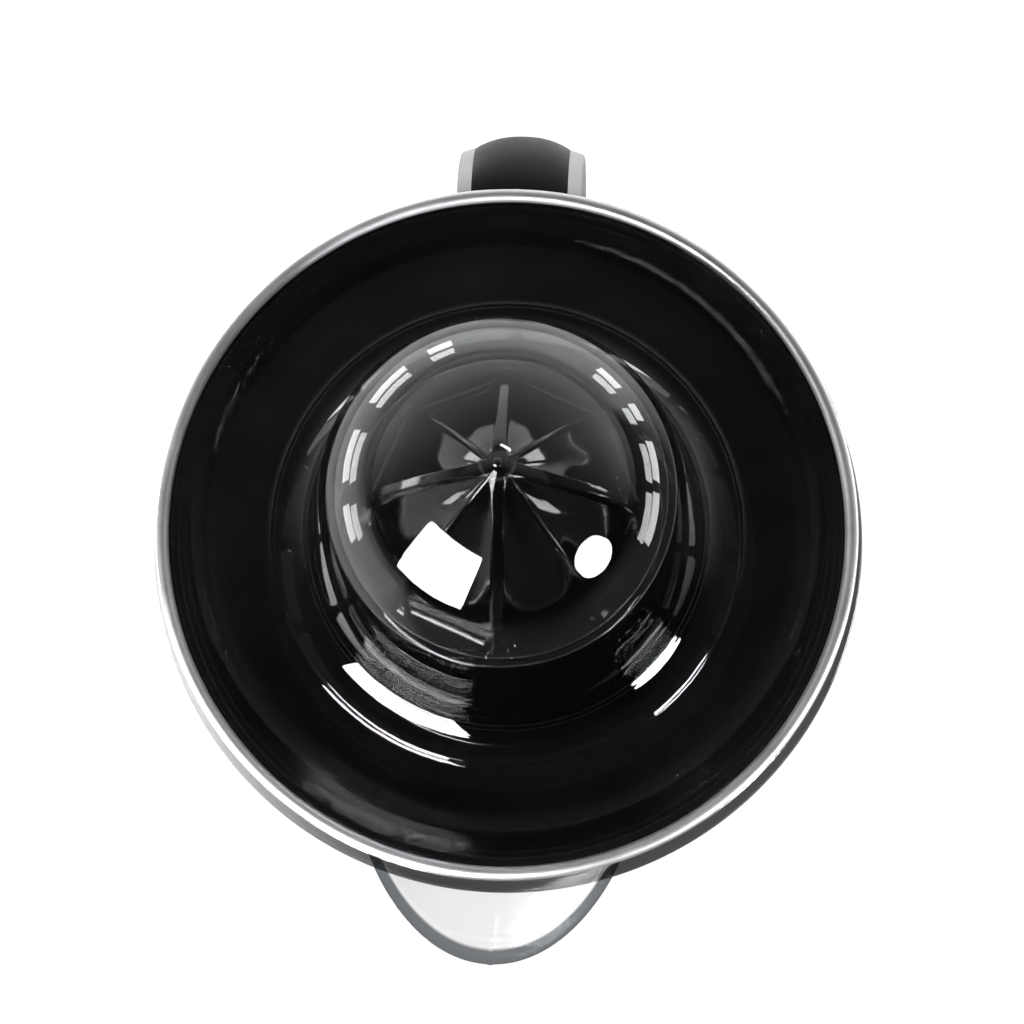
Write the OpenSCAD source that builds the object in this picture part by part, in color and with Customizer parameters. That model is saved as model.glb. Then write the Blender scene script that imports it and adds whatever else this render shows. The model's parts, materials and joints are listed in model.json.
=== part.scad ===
// Electric citrus press: motor base, clear jug with handle and spout, slotted bowl, fluted
// reamer and clear domed cover. The origin is on the spindle axis in the plane the feet stand
// on, +Z up, +Y towards the handle and -Y towards the spout.

/* [Base] */
// Height of the deck that the jug stands on
base_h = 62; // [62:1:80]
// Outer radius of the base housing
base_r = 71; // [71:0.5:76]
// Wall of the base housing
base_wall = 2.5; // [2:0.1:3]
// Thickness of the bottom cover
cover_t = 3; // [2.5:0.1:4]
// Height that the feet lift the base
foot_h = 3; // [2:0.5:5]
// Radius of a foot
foot_r = 8; // [6:0.5:9]
// Thickness of the steel sleeve round the base
sleeve_t = 0.8; // [0.5:0.1:1.2]
// Height of the steel sleeve
sleeve_h = 32; // [25:1:33]
// Radius of the hole for the mains cord
cord_r = 3.4; // [3:0.1:4]

/* [Drive] */
// Radius of the drive spindle
spindle_r = 5; // [4.5:0.1:5.5]
// Width across flats of the spindle's hexagonal ends
hex_af = 8.4; // [7.5:0.1:8.4]
// How far the reamer and spindle press down to switch on
press_h = 2.5; // [1.5:0.1:2.5]
// Teeth on each large gear
gear_teeth = 60; // [54:1:60]
// Teeth on each pinion
pinion_teeth = 12; // [11:1:12]
// Tooth module of the motor stage
mod_a = 0.8; // [0.7:0.05:0.8]
// Tooth module of the spindle stage
mod_b = 1; // [0.9:0.05:1]
// Face width of the motor stage
face_a = 6; // [5:0.5:6]
// Face width of the spindle stage
face_b = 6.5; // [5:0.5:6.5]
// Radius of the motor's rotor
rotor_r = 13.5; // [11:0.5:14]
// Height of the motor's lamination stack
stack_h = 16; // [12:1:16]
// Outer radius of the tower round the spindle
tower_r = 11.5; // [11:0.5:12]

/* [Jug] */
// Height from the deck to the jug's rim
jug_h = 78; // [70:1:95]
// Outer radius of the jug at its rim
jug_top_r = 86.5; // [84:0.5:90]
// Outer radius of the jug at its foot
jug_foot_r = 70; // [68:0.5:70]
// Wall of the jug
jug_wall = 2.5; // [2:0.1:3]
// Radius of the bowed pouring lip
lip_r = 38; // [30:1:42]
// Reach of the lip's tip from the axis
lip_reach = 109.3; // [104:0.1:114]
// Lean of the lip from upright
lip_lean = 52; // [46:1:60]

/* [Handle] */
// Gap between the two handle cheeks, filled by the grip
grip_w = 24.6; // [20:0.2:30]
// Thickness of a cheek
cheek_t = 3.7; // [3:0.1:5]
// Depth of the handle's section
handle_d = 11; // [9:0.5:12]
// How far the grip stands out of the cheeks
grip_proud = 3.6; // [2:0.1:5]
// Reach of the handle's middle line from the axis
handle_reach = 104; // [102:0.5:108]

/* [Bowl] */
// Diameter of the bright bead on the rim
bead_d = 3.5; // [3:0.1:4]
// Height of the collar that carries the steel band
collar_h = 13; // [10:0.5:16]
// How much wider the band is at its foot than at its top
band_flare = 1.5; // [0.5:0.1:2]
// Thickness of the steel band
band_t = 0.8; // [0.5:0.1:1]
// Depth of the slotted floor below the rim
funnel_depth = 29.5; // [26:0.5:32]
// Radius of the ring of juice slots
slot_ring_r = 57; // [55:0.5:59]
// Number of juice slots
slot_count = 16; // [8:1:18]
// Arc covered by one slot in degrees
slot_arc = 17; // [10:1:18]
// Width of a slot
slot_w = 3; // [2:0.1:4]
// Wall of the bowl
bowl_wall = 2.4; // [2:0.1:3]

/* [Reamer] */
// Radius of the reamer's skirt
reamer_r = 39; // [36:0.5:40]
// Height of the reamer
reamer_h = 60; // [54:1:62]
// Number of ridges
ridge_count = 8; // [6:1:10]
// Thickness of a ridge
ridge_t = 2.4; // [2:0.1:4]
// How far the ridges stand out of the core
ridge_depth = 5; // [3:0.5:7]

/* [Cover] */
// Outer radius of the cover's dome
dome_r = 44.6; // [43.5:0.1:48]
// Height of the dome's centre above the rim
dome_lift = 36; // [34:0.5:42]
// Wall of the cover
cover_wall = 2; // [1.6:0.1:2.4]

/* [Hidden] */
$fn = 96;
// clearances: faces that rest, faces that slide, parts that run past each other, shafts
seat_gap = 0.2;
slide_gap = 0.3;
run_gap = 0.5;
shaft_gap = 0.05;
key_gap = 0.15;

// base, from the floor up
floor_z = foot_h + cover_t;
plateau_h = 2.5;
shoulder_z = base_h - plateau_h;
deck_under_z = base_h - base_wall;
plateau_r = jug_foot_r - 3.7;
inner_r = base_r - base_wall;

corner_angles = [45, 135, 225, 315];
foot_angles = [0, 90, 180, 270];

// gear train, hung from the deck
pressure = 25;
addendum = 0.8;
backlash = 0.08;
bush_flange = 1.5;
stage_gap = 1;
gear_b_top = deck_under_z - bush_flange - 0.3;
gear_b_z = gear_b_top - face_b;
gear_a_top = gear_b_z - stage_gap;
gear_a_z = gear_a_top - face_a;
plate_t = 2;
plate_top = gear_a_z - stage_gap;
plate_z = plate_top - plate_t;
plate_r = 60;
dist_a = mod_a * (gear_teeth + pinion_teeth) / 2;
dist_b = mod_b * (gear_teeth + pinion_teeth) / 2;
motor_x = 30;
compound_x = (motor_x * motor_x + dist_b * dist_b - dist_a * dist_a) / (2 * motor_x);
compound_y = sqrt(dist_b * dist_b - compound_x * compound_x);
compound_dir = atan2(compound_y, compound_x);
mesh_dir = atan2(compound_y, compound_x - motor_x);
axle_r = 2;
post_r = 3.6;
post_at = 50;
post_angles = [0, 135, 225, 315];
screw_r = 1.5;
screw_head_r = 2.8;
screw_head_h = 1.8;

// motor, hung from the gear plate
bracket_t = 1.5;
bracket_gap = 2;
coil_over = 6;
core_top = plate_z - bracket_gap - coil_over;
core_z = core_top - stack_h;
core_w = 44;
air_gap = 0.4;
rotor_bore = rotor_r + air_gap;
core_head = 20;
core_arm = 10;
core_leg_x = 26;
core_leg_w = 10;
winding_t = 6;
bolt_x = 12;
bolt_y = 17;
bracket_rise = 5;
motor_shaft_r = 2;
motor_bush_r = 5;

// tower, spindle and spring
rim_z = base_h + jug_h + seat_gap + collar_h + 0.8 * bead_d;
collar_z = base_h + jug_h + seat_gap;
collar_top = collar_z + collar_h;
rim_r = jug_top_r - 2;
bead_r = rim_r + bead_d / 2;
reamer_z = rim_z + 15;
socket_z = reamer_z + 5;
socket_h = 19;
spindle_top = socket_z + socket_h - seat_gap;
hub_plate_z = reamer_z - 6;
tower_top = hub_plate_z - bowl_wall - 12.5;
tower_bore = tower_r - 2.9;
upper_bore = tower_r - 4.7;
washer_t = 1.5;
spring_h = 31;
spring_z = base_h + 2;
washer_z = spring_z + spring_h;
step_z = washer_z + washer_t + slide_gap;
clip_t = 1;
clip_r = upper_bore - 0.6;
spring_wire = 1;
spring_sides = 8;
spring_rings = 112;
end_pitch = 1.05 * spring_wire;
spring_turns = 7;
spring_mid_r = 6.9;
upper_bush_h = 10;
lower_journal_r = spindle_r - 1.2;
spindle_tip_z = plate_z - 7;
hex_low_z = plate_top + press_h + 2;
hex_low_top = gear_b_top - 0.6;
hub_r = 9;

// terminals
terminal_size = [26, 12, 10];
terminal_at = [-26, 44];
terminal_rows = [-7, 0, 7];

// switch, hung from the gear plate
switch_w = 20;
switch_d = 6.6;
switch_h = 10;
lever_t = 1;
lever_w = 5;
switch_x = -10;
switch_top = spindle_tip_z - 6.5;
pivot_x = switch_x - 7;
pivot_z = switch_top + 1.6;
pivot_pin_r = 0.8;
roller_r = 1.6;
roller_z = spindle_tip_z - slide_gap - roller_r;
plunger_x = switch_x + 2;
plunger_r = 1.2;
plunger_top = pivot_z + (roller_z - pivot_z) * (plunger_x - pivot_x) / (0 - pivot_x) - lever_t / 2 - 0.5;

// bosses and screws of the bottom cover
boss_r = 5;
boss_at = inner_r - boss_r + 1;
boss_top = plate_z - 2;
foot_at = base_r - foot_r - 5;
cord_z = foot_h + 12;
gland_r = cord_r + 3;
gland_lip = 1.4;
gland_flange = 1.6;
sleeve_z = cord_z + gland_r + gland_lip + 1;

// jug
jug_z = shoulder_z + seat_gap;
jug_rim_z = base_h + jug_h;
jug_floor_z = base_h + seat_gap;
jug_ring_r = plateau_r + slide_gap;
jug_in_r = jug_top_r - jug_wall;
chimney_in_r = tower_r + run_gap + 0.8;
chimney_r = chimney_in_r + 2.2;
chimney_top = hub_plate_z - bowl_wall - 8;
jug_bow = 3;
jug_steps = 10;
lug_r = jug_top_r + 7;

// handle
handle_top_z = jug_rim_z - 10;
handle_low_z = jug_z + 13;
handle_curve = [
  [jug_top_r - 3, handle_top_z],
  [handle_reach + 1, handle_top_z + 6.5],
  [handle_reach + 16.5, handle_low_z - 10.7],
  [jug_foot_r + 3, handle_low_z]
];
handle_steps = 20;
handle_screw_at = [0.11, 0.93];
head_sink = 1.6;

// bowl
funnel_z = rim_z - funnel_depth;
collar_top_r = rim_r + bead_d - band_t;
collar_low_r = collar_top_r + band_flare;
floor_out_r = slot_ring_r + 6;
floor_in_r = slot_ring_r - 6;
hub_top_r = reamer_r - 3;
ledge_w = 2.5;
ledge_z = collar_top - 1.7;
tube_r = 9;
tube_in_r = spindle_r + 1.5;
tube_h = 7;
skirt_h = 7;
skirt_out_r = jug_in_r - 0.5;
skirt_low_r = jug_r(1 - skirt_h / jug_h) - jug_wall - 0.8;
skirt_t = 1.7;

// cone ring and reamer
ring_in_r = tube_r + slide_gap;
ring_t = 2.2;
ring_z = hub_plate_z + press_h + 0.5;
boss_cone_r = 8;
shell_t = 2.2;
ream_steps = 10;
skirt_edge_h = 4;

// cover
dome_z = rim_z + dome_lift;
lip_z = ledge_z + seat_gap;
lip_out_r = rim_r - slide_gap;
annulus_z = rim_z - 10;
fillet_r = 12;
fillet_at = slot_ring_r + 3;
draft = 5;
dimple_r = 4;
dimple_d = 0.8;

// A ring of rectangular section
module ring(r_out, r_in, z, h) {
  translate([0, 0, z]) rotate_extrude() translate([r_in, 0]) square([r_out - r_in, h]);
}

// A solid round bar
module bar(r, z, h) {
  translate([0, 0, z]) cylinder(r = r, h = h);
}

// A hexagonal bar given by its width across flats
module hex_bar(af, z, h) {
  translate([0, 0, z]) cylinder(r = af / sqrt(3), h = h, $fn = 6);
}

// Copies of the children at a radius on each of the given angles
module at_angles(r, angles) {
  for (a = angles) rotate(a) translate([r, 0, 0]) children();
}

// A pan-head screw pointing up, its head's top face at z = 0 downwards
module screw(length) {
  bar(screw_head_r, -screw_head_h, screw_head_h);
  bar(screw_r, 0, length);
}

// Involute gear outline, tooth centred on +X
function inv(a) = tan(a) * 180 / PI - a;
function half_tooth(r, m, z) =
  90 / z * (1 - backlash) + inv(pressure)
  - inv(acos(min(1, m * z / 2 * cos(pressure) / r)));
function tooth(m, z, i) =
  let (
    rp = m * z / 2,
    root = rp - m,
    tip = rp + addendum * m,
    base = max(root + 0.1 * m, rp * cos(pressure)),
    radii = [root, base, (base + tip) / 2, tip],
    mid = 360 / z * i
  )
  concat(
    [for (k = [0:3]) let (a = mid - half_tooth(max(radii[k], base), m, z)) radii[k] * [cos(a), sin(a)]],
    [for (k = [3:-1:0]) let (a = mid + half_tooth(max(radii[k], base), m, z)) radii[k] * [cos(a), sin(a)]]
  );
function gear_outline(m, z) = [for (i = [0:z - 1]) each tooth(m, z, i)];
module gear(m, z, h) {
  linear_extrude(height = h) polygon(gear_outline(m, z));
}

// Points of an arc from angle a to angle b
function arc(c, r, a, b, n = 8) =
  [for (i = [0:n]) let (t = a + (b - a) * i / n) c + r * [cos(t), sin(t)]];

// ---- base ----

module base_housing() {
  color("#101011") difference() {
    union() {
      rotate_extrude() polygon([
        [inner_r, foot_h + 0.5], [inner_r + 0.5, foot_h], [base_r - 1, foot_h],
        [base_r, foot_h + 2], [base_r, shoulder_z - 2], [base_r - 2, shoulder_z],
        [plateau_r, shoulder_z], [plateau_r, base_h], [tower_r + 1, base_h],
        [tower_r, base_h + 1], [tower_r, tower_top], [upper_bore, tower_top],
        [upper_bore, step_z], [tower_bore, step_z], [tower_bore, deck_under_z],
        [plateau_r - 1, deck_under_z], [inner_r, shoulder_z - base_wall]
      ]);
      at_angles(boss_at, corner_angles) bar(boss_r, floor_z, boss_top - floor_z);
      at_angles(post_at, post_angles) bar(post_r, plate_top, deck_under_z - plate_top);
      translate([compound_x, compound_y, 0]) bar(post_r, gear_b_top + 0.4, deck_under_z - gear_b_top);
    }
    at_angles(boss_at, corner_angles) bar(screw_r, floor_z - 1, 12);
    at_angles(post_at, post_angles) bar(screw_r, plate_top - 1, 12);
    translate([compound_x, compound_y, 0]) bar(axle_r, plate_top, base_h - 1 - plate_top);
    translate([0, base_r + 1, cord_z]) rotate([90, 0, 0]) cylinder(r = gland_r, h = base_wall + 3);
  }
}

module base_sleeve() {
  color("silver") ring(base_r + sleeve_t, base_r, sleeve_z, sleeve_h);
}

module bottom_cover() {
  color("#1c1c1d") difference() {
    union() {
      bar(inner_r - 0.2, foot_h, cover_t);
      at_angles(foot_at, foot_angles) bar(foot_r - 2.5, floor_z, 2);
    }
    at_angles(foot_at, foot_angles) bar(foot_r - 4, foot_h - 1, cover_t + 4);
    at_angles(boss_at, corner_angles) bar(screw_r + 0.2, foot_h - 1, cover_t + 2);
    at_angles(boss_at, corner_angles) bar(screw_head_r + 0.2, foot_h - 1, 1 + screw_head_h);
    for (x = [-24:6:24]) translate([x - 1.25, -20, foot_h - 1]) cube([2.5, 40, cover_t + 2]);
  }
}

module rubber_feet() {
  color("#2a2a2a") at_angles(foot_at, foot_angles) {
    bar(foot_r, 0, foot_h);
    bar(foot_r - 4, foot_h, cover_t + 2);
  }
}

module bottom_screws() {
  color("silver") at_angles(boss_at, corner_angles)
    translate([0, 0, foot_h + screw_head_h]) screw(10);
}

module cord_gland() {
  color("#1c1c1d") translate([0, inner_r - 2, cord_z]) rotate([-90, 0, 0]) difference() {
    union() {
      cylinder(r = gland_r, h = base_wall + 2);
      translate([0, 0, base_wall + 2]) cylinder(r = gland_r + gland_lip, h = gland_flange);
    }
    translate([0, 0, -1]) cylinder(r = cord_r, h = base_wall + gland_flange + 8);
  }
}

// ---- gear train ----

module gear_plate() {
  color("silver") difference() {
    bar(plate_r, plate_z, plate_t);
    at_angles(post_at, post_angles) bar(screw_r, plate_z - 1, plate_t + 2);
    bar(hub_r - 3, plate_z - 1, plate_t + 2);
    translate([compound_x, compound_y, 0]) bar(axle_r, plate_z - 1, plate_t + 2);
    translate([motor_x, 0, 0]) bar(motor_bush_r + 2, plate_z - 1, plate_t + 2);
    motor_place() for (y = [-bolt_y, bolt_y]) translate([-bolt_x, y, 0])
      bar(screw_r, plate_z - 1, plate_t + 2);
  }
}

module gear_plate_screws() {
  color("silver") at_angles(post_at, post_angles) translate([0, 0, plate_z]) screw(12);
}

module compound_axle() {
  color("silver") translate([compound_x, compound_y, 0]) bar(axle_r, plate_z, base_h - 1 - plate_z);
}

module spindle_bush_low() {
  color("#b08d57") {
    ring(hub_r - 3, lower_journal_r + shaft_gap, plate_z, plate_t);
    ring(hub_r - 1.6, lower_journal_r + shaft_gap, plate_z - 2, 2);
  }
}

module tower_bush_low() {
  color("ivory") {
    ring(tower_bore, spindle_r + shaft_gap, deck_under_z, spring_z - deck_under_z);
    ring(tower_bore + 2.4, spindle_r + shaft_gap, deck_under_z - bush_flange, bush_flange);
  }
}

module tower_bush_top() {
  color("ivory") {
    ring(upper_bore, spindle_r + shaft_gap, tower_top - upper_bush_h, upper_bush_h);
    ring(tower_r - 1, spindle_r + shaft_gap, tower_top, bush_flange);
  }
}

// Compression spring swept as one tube along a helix, its end turns closed up
function spring_rise(t) =
  let (closed = 1 / spring_turns, travel = spring_h - spring_wire - 2 * end_pitch)
  t < closed ? end_pitch * t / closed
  : t > 1 - closed ? end_pitch + travel + end_pitch * (t - 1 + closed) / closed
  : end_pitch + travel * (t - closed) / (1 - 2 * closed);
module return_spring() {
  color("silver") polyhedron(
    points = [
      for (i = [0:spring_rings], j = [0:spring_sides - 1])
        let (
          t = i / spring_rings,
          a = 360 * spring_turns * t,
          b = 360 * j / spring_sides,
          r = spring_mid_r + spring_wire / 2 * cos(b),
          z = spring_z + spring_wire / 2 + spring_rise(t) + spring_wire / 2 * sin(b)
        )
        [r * cos(a), r * sin(a), z]
    ],
    faces = concat(
      [[for (j = [0:spring_sides - 1]) j]],
      [for (i = [0:spring_rings - 1], j = [0:spring_sides - 1])
        let (k = (j + 1) % spring_sides, p = i * spring_sides, q = p + spring_sides)
        [p + j, q + j, q + k, p + k]],
      [[for (j = [spring_sides - 1:-1:0]) spring_rings * spring_sides + j]]
    )
  );
}

module compound_gear() {
  color("ivory") translate([compound_x, compound_y, 0]) difference() {
    union() {
      translate([0, 0, gear_a_z]) rotate(mesh_dir + 180) gear(mod_a, gear_teeth, face_a);
      translate([0, 0, gear_a_top - 1]) rotate(compound_dir + 180)
        gear(mod_b, pinion_teeth, gear_b_top - gear_a_top + 1);
    }
    bar(axle_r + shaft_gap, gear_a_z - 1, face_a + face_b + 4);
  }
}

module output_gear() {
  color("ivory") difference() {
    union() {
      translate([0, 0, gear_b_z]) rotate(compound_dir + 180 / gear_teeth) gear(mod_b, gear_teeth, face_b);
      bar(hub_r, plate_top + seat_gap, gear_b_z - plate_top);
    }
    hex_bar(hex_af + 2 * key_gap, plate_top - 1, gear_b_top);
    bar(spindle_r + run_gap, hex_low_top - press_h - 0.5, 20);
  }
}

// ---- motor ----

module motor_place() {
  translate([motor_x, 0, 0]) rotate(-90) children();
}

module motor_core() {
  color("#7d7f83") motor_place() difference() {
    translate([0, 0, core_z]) linear_extrude(height = stack_h) difference() {
      polygon([
        [-core_head, -core_w / 2 + 4], [-core_head + 4, -core_w / 2],
        [core_leg_x + core_leg_w, -core_w / 2], [core_leg_x + core_leg_w, core_w / 2],
        [-core_head + 4, core_w / 2], [-core_head, core_w / 2 - 4]
      ]);
      circle(r = rotor_bore);
      translate([rotor_bore + 4, -core_w / 2 + core_arm])
        square([core_leg_x - rotor_bore - 4, core_w - 2 * core_arm]);
    }
    for (x = [-bolt_x, bolt_x], y = [-bolt_y, bolt_y]) translate([x, y, 0])
      bar(screw_r + 0.1, core_z - 1, stack_h + 2);
  }
}

module coil_bobbin() {
  color("ivory") motor_place() translate([core_leg_x, 0, core_z]) difference() {
    union() {
      for (y = [-core_w / 2 + core_arm + 0.4, core_w / 2 - core_arm - 1.6])
        translate([-winding_t, y, -winding_t + 1])
          cube([core_leg_w + 2 * winding_t, 1.2, stack_h + 2 * winding_t - 2]);
      translate([-1, -core_w / 2 + core_arm + 0.4, -1])
        cube([core_leg_w + 2, core_w - 2 * core_arm - 0.8, stack_h + 2]);
    }
    translate([-0.05, -core_w / 2, -0.05]) cube([core_leg_w + 0.1, core_w, stack_h + 0.1]);
  }
}

module motor_winding() {
  color("#a5532a") motor_place() translate([core_leg_x, -core_w / 2 + core_arm + 1.7, core_z])
    difference() {
      translate([-winding_t + 0.5, 0, -winding_t + 1.5])
        cube([core_leg_w + 2 * winding_t - 1, core_w - 2 * core_arm - 3.4, stack_h + 2 * winding_t - 3]);
      translate([-1.05, -1, -1.05])
        cube([core_leg_w + 2.1, core_w, stack_h + 2.1]);
    }
}

// Strip across the rotor, its two feet on the core, with a hole for the bush
module bracket() {
  difference() {
    union() {
      for (s = [-1, 1]) {
        translate([-6, s > 0 ? bolt_y - 3 : -bolt_y - 4, 0]) cube([12, 7, bracket_t]);
        translate([-6, s > 0 ? bolt_y - 3 : -bolt_y + 3 - bracket_t, 0])
          cube([12, bracket_t, bracket_rise]);
        translate([-bolt_x - 4, s * bolt_y - 3, 0]) cube([2 * bolt_x + 8, 6, bracket_t]);
      }
      translate([-6, -bolt_y + 3 - bracket_t, bracket_rise - bracket_t])
        cube([12, 2 * bolt_y - 6 + 2 * bracket_t, bracket_t]);
    }
    bar(motor_bush_r - 1.5, -1, 20);
    for (x = [-bolt_x, bolt_x], y = [-bolt_y, bolt_y]) translate([x, y, 0])
      bar(screw_r + 0.1, -1, 4);
  }
}

module motor_bracket_top() {
  color("silver") motor_place() translate([0, 0, core_top]) bracket();
}

module motor_bracket_low() {
  color("silver") motor_place() translate([0, 0, core_z]) mirror([0, 0, 1]) bracket();
}

module motor_bushes() {
  color("#b08d57") translate([motor_x, 0, 0]) {
    ring(motor_bush_r - 1.5, motor_shaft_r + shaft_gap, core_top + bracket_rise - bracket_t, bracket_t);
    ring(motor_bush_r, motor_shaft_r + shaft_gap, core_top + bracket_rise, bracket_t + 0.5);
    ring(motor_bush_r - 1.5, motor_shaft_r + shaft_gap, core_z - bracket_rise, bracket_t);
    bar(motor_bush_r, core_z - bracket_rise - bracket_t - 0.3, bracket_t);
  }
}

module motor_bolts() {
  color("silver") motor_place() for (x = [-bolt_x, bolt_x], y = [-bolt_y, bolt_y])
    translate([x, y, core_z - bracket_t])
      screw(x < 0 ? plate_top - core_z + bracket_t : stack_h + 2 * bracket_t + 1);
}

module motor_rotor() {
  color("#9a9ca0") translate([motor_x, 0, 0])
    ring(rotor_r, motor_shaft_r, core_z, stack_h);
}

module motor_shaft() {
  color("silver") translate([motor_x, 0, 0])
    bar(motor_shaft_r, core_z - bracket_rise, gear_a_top - core_z + bracket_rise);
}

module motor_pinion() {
  color("#b08d57") translate([motor_x, 0, gear_a_z]) difference() {
    rotate(mesh_dir + 180 / pinion_teeth) gear(mod_a, pinion_teeth, face_a);
    bar(motor_shaft_r, -1, face_a + 2);
  }
}

// ---- spindle ----

module thrust_washer() {
  color("ivory") ring(tower_bore - slide_gap, spindle_r + shaft_gap, washer_z, washer_t);
}

module drive_spindle() {
  color("silver") difference() {
    union() {
      translate([0, 0, spindle_tip_z + 2]) sphere(r = 2);
      bar(2, spindle_tip_z + 2, 3);
      bar(lower_journal_r, spindle_tip_z + 4, hex_low_z - spindle_tip_z - 4);
      hex_bar(hex_af, hex_low_z, hex_low_top - hex_low_z);
      bar(spindle_r, hex_low_top, hub_plate_z + 1 - hex_low_top);
      hex_bar(hex_af, hub_plate_z + 1, spindle_top - hub_plate_z - 1);
    }
    ring(spindle_r + 1, spindle_r - 0.6, washer_z + washer_t, clip_t);
  }
}

module spindle_clip() {
  color("#55575a") difference() {
    ring(clip_r, spindle_r - 0.6, washer_z + washer_t, clip_t);
    translate([0, -1.5, washer_z]) cube([clip_r + 1, 3, washer_t + clip_t + 1]);
  }
}

// ---- switch and terminals ----

module switch_body() {
  color("#202022") difference() {
    translate([switch_x - switch_w / 2, -switch_d / 2, switch_top - switch_h])
      cube([switch_w, switch_d, switch_h]);
    translate([plunger_x, 0, 0]) bar(plunger_r + shaft_gap, switch_top - 4, 5);
    translate([switch_x - 5, 0, switch_top - 5]) rotate([90, 0, 0])
      cylinder(r = screw_r, h = switch_d + 2, center = true);
  }
}

// Angle bracket that hangs the switch from the gear plate
module switch_bracket() {
  color("silver") {
    difference() {
      translate([switch_x - switch_w / 2, switch_d / 2, switch_top - switch_h])
        cube([switch_w - 7, 1.2, plate_z - switch_top + switch_h]);
      translate([switch_x - 5, 0, switch_top - 5]) rotate([90, 0, 0])
        cylinder(r = screw_r, h = 4 * switch_d, center = true);
    }
    translate([switch_x - switch_w / 2, switch_d / 2, plate_z - 1.2]) cube([switch_w - 7, 9, 1.2]);
    translate([switch_x - 5, switch_d / 2 + 1.2, switch_top - 5]) rotate([90, 0, 0]) {
      cylinder(r = screw_r, h = switch_d + 1.2);
      translate([0, 0, -1.5]) cylinder(r = screw_head_r, h = 1.5);
    }
    translate([pivot_x, 0, pivot_z]) rotate([90, 0, 0])
      cylinder(r = pivot_pin_r, h = switch_d + 1, center = true);
    for (y = [-switch_d / 2, switch_d / 2 - 0.6]) translate([pivot_x - 2, y, switch_top])
      cube([4, 0.6, pivot_z - switch_top + 1.5]);
  }
}

module switch_lever() {
  lean = atan2(roller_z - pivot_z, -pivot_x);
  reach = (roller_z - pivot_z) / sin(lean);
  color("silver") translate([pivot_x, 0, pivot_z]) rotate([0, -lean, 0]) difference() {
    union() {
      translate([0, -lever_w / 2, -lever_t / 2]) cube([reach, lever_w, lever_t]);
      rotate([90, 0, 0]) cylinder(r = pivot_pin_r + 0.5, h = lever_w, center = true);
      translate([reach, 0, 0]) rotate([90, 0, 0]) cylinder(r = roller_r, h = lever_w, center = true);
    }
    rotate([90, 0, 0]) cylinder(r = pivot_pin_r + shaft_gap, h = lever_w + 2, center = true);
  }
}

module switch_plunger() {
  color("firebrick") translate([plunger_x, 0, 0])
    bar(plunger_r, switch_top - 2.5, plunger_top - switch_top + 2.5);
}

module terminal_place() {
  translate([terminal_at[0], terminal_at[1], floor_z]) rotate(30) children();
}

module terminal_block() {
  color("ivory") terminal_place() difference() {
    translate([-terminal_size[0] / 2, -terminal_size[1] / 2, 0]) cube(terminal_size);
    for (x = terminal_rows) translate([x, 0, 0]) bar(screw_head_r - 0.5, 5, 10);
  }
}

module terminal_screws() {
  color("silver") terminal_place() for (x = terminal_rows) translate([x, 0, 0])
    bar(screw_head_r - 0.7, 5, 2.5);
}

// ---- jug ----

function jug_r(t) = jug_foot_r + (jug_top_r - jug_foot_r) * t + jug_bow * sin(180 * t);
module jug_shape(inset, z0, z1) {
  rotate_extrude() polygon(concat(
    [[0, z0]],
    [for (i = [0:jug_steps]) let (t = i / jug_steps) [jug_r(t) - inset, z0 + (z1 - z0) * t]],
    [[0, z1]]
  ));
}

// Leaning cylinder whose level cut at the rim is the bowed lip
module lip(r, top) {
  intersection() {
    translate([0, -lip_reach, jug_rim_z]) rotate([lip_lean, 0, 0])
      translate([0, lip_r, -90]) cylinder(r = r, h = 150);
    translate([-60, -150, jug_rim_z - 70]) cube([120, 150, 70 + top]);
  }
}

module jug_vessel() {
  color("#dfe6ea", 0.4) difference() {
    union() {
      difference() {
        union() {
          jug_shape(0, jug_z, jug_rim_z);
          lip(lip_r, 0);
        }
        jug_shape(jug_wall, jug_floor_z + jug_wall, jug_rim_z + 0.01);
        lip(lip_r - jug_wall, 1);
        ring(jug_ring_r, 0, jug_z - 1, jug_floor_z - jug_z + 1);
      }
      bar(chimney_r, jug_floor_z, chimney_top - jug_floor_z);
      intersection() {
        handle_plate(grip_w - 2 * slide_gap, handle_d - 4, 0);
        difference() {
          ring(lug_r, 0, jug_z, jug_h);
          jug_shape(jug_wall / 2, jug_floor_z, jug_rim_z);
        }
      }
    }
    bar(chimney_in_r, jug_z - 1, chimney_top + 2);
    handle_screw_places() cylinder(r = screw_r, h = 60, center = true);
  }
}

// ---- handle ----

// Middle line of the handle, a cubic curve in the Y-Z plane
function curve_at(t) =
  let (u = 1 - t)
  u * u * u * handle_curve[0] + 3 * u * u * t * handle_curve[1]
  + 3 * u * t * t * handle_curve[2] + t * t * t * handle_curve[3];
function curve_normal(t) =
  let (
    u = 1 - t,
    d = u * u * (handle_curve[1] - handle_curve[0]) + 2 * u * t * (handle_curve[2] - handle_curve[1])
        + t * t * (handle_curve[3] - handle_curve[2])
  )
  [-d[1], d[0]] / norm(d);

// Band along the middle line, depth wide, its outer side moved out by proud. It runs one step
// past both ends, so the jug's wall trims it
module handle_plate(width, depth, proud) {
  steps = [for (i = [-1:handle_steps + 1]) i / handle_steps];
  rotate([90, 0, 90]) linear_extrude(height = width, center = true) polygon(concat(
    [for (t = steps) curve_at(t) + (depth / 2 + proud * max(0, sin(180 * t))) * curve_normal(t)],
    [for (i = [len(steps) - 1:-1:0]) curve_at(steps[i]) - depth / 2 * curve_normal(steps[i])]
  ));
}

// Everything within reach of the jug's outside
module outside_jug(gap) {
  difference() {
    translate([-grip_w, 0, 0]) cube([2 * grip_w, 200, jug_rim_z + 40]);
    jug_shape(-gap, jug_z, jug_rim_z);
    bar(jug_foot_r + gap, 0, jug_z);
  }
}

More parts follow.
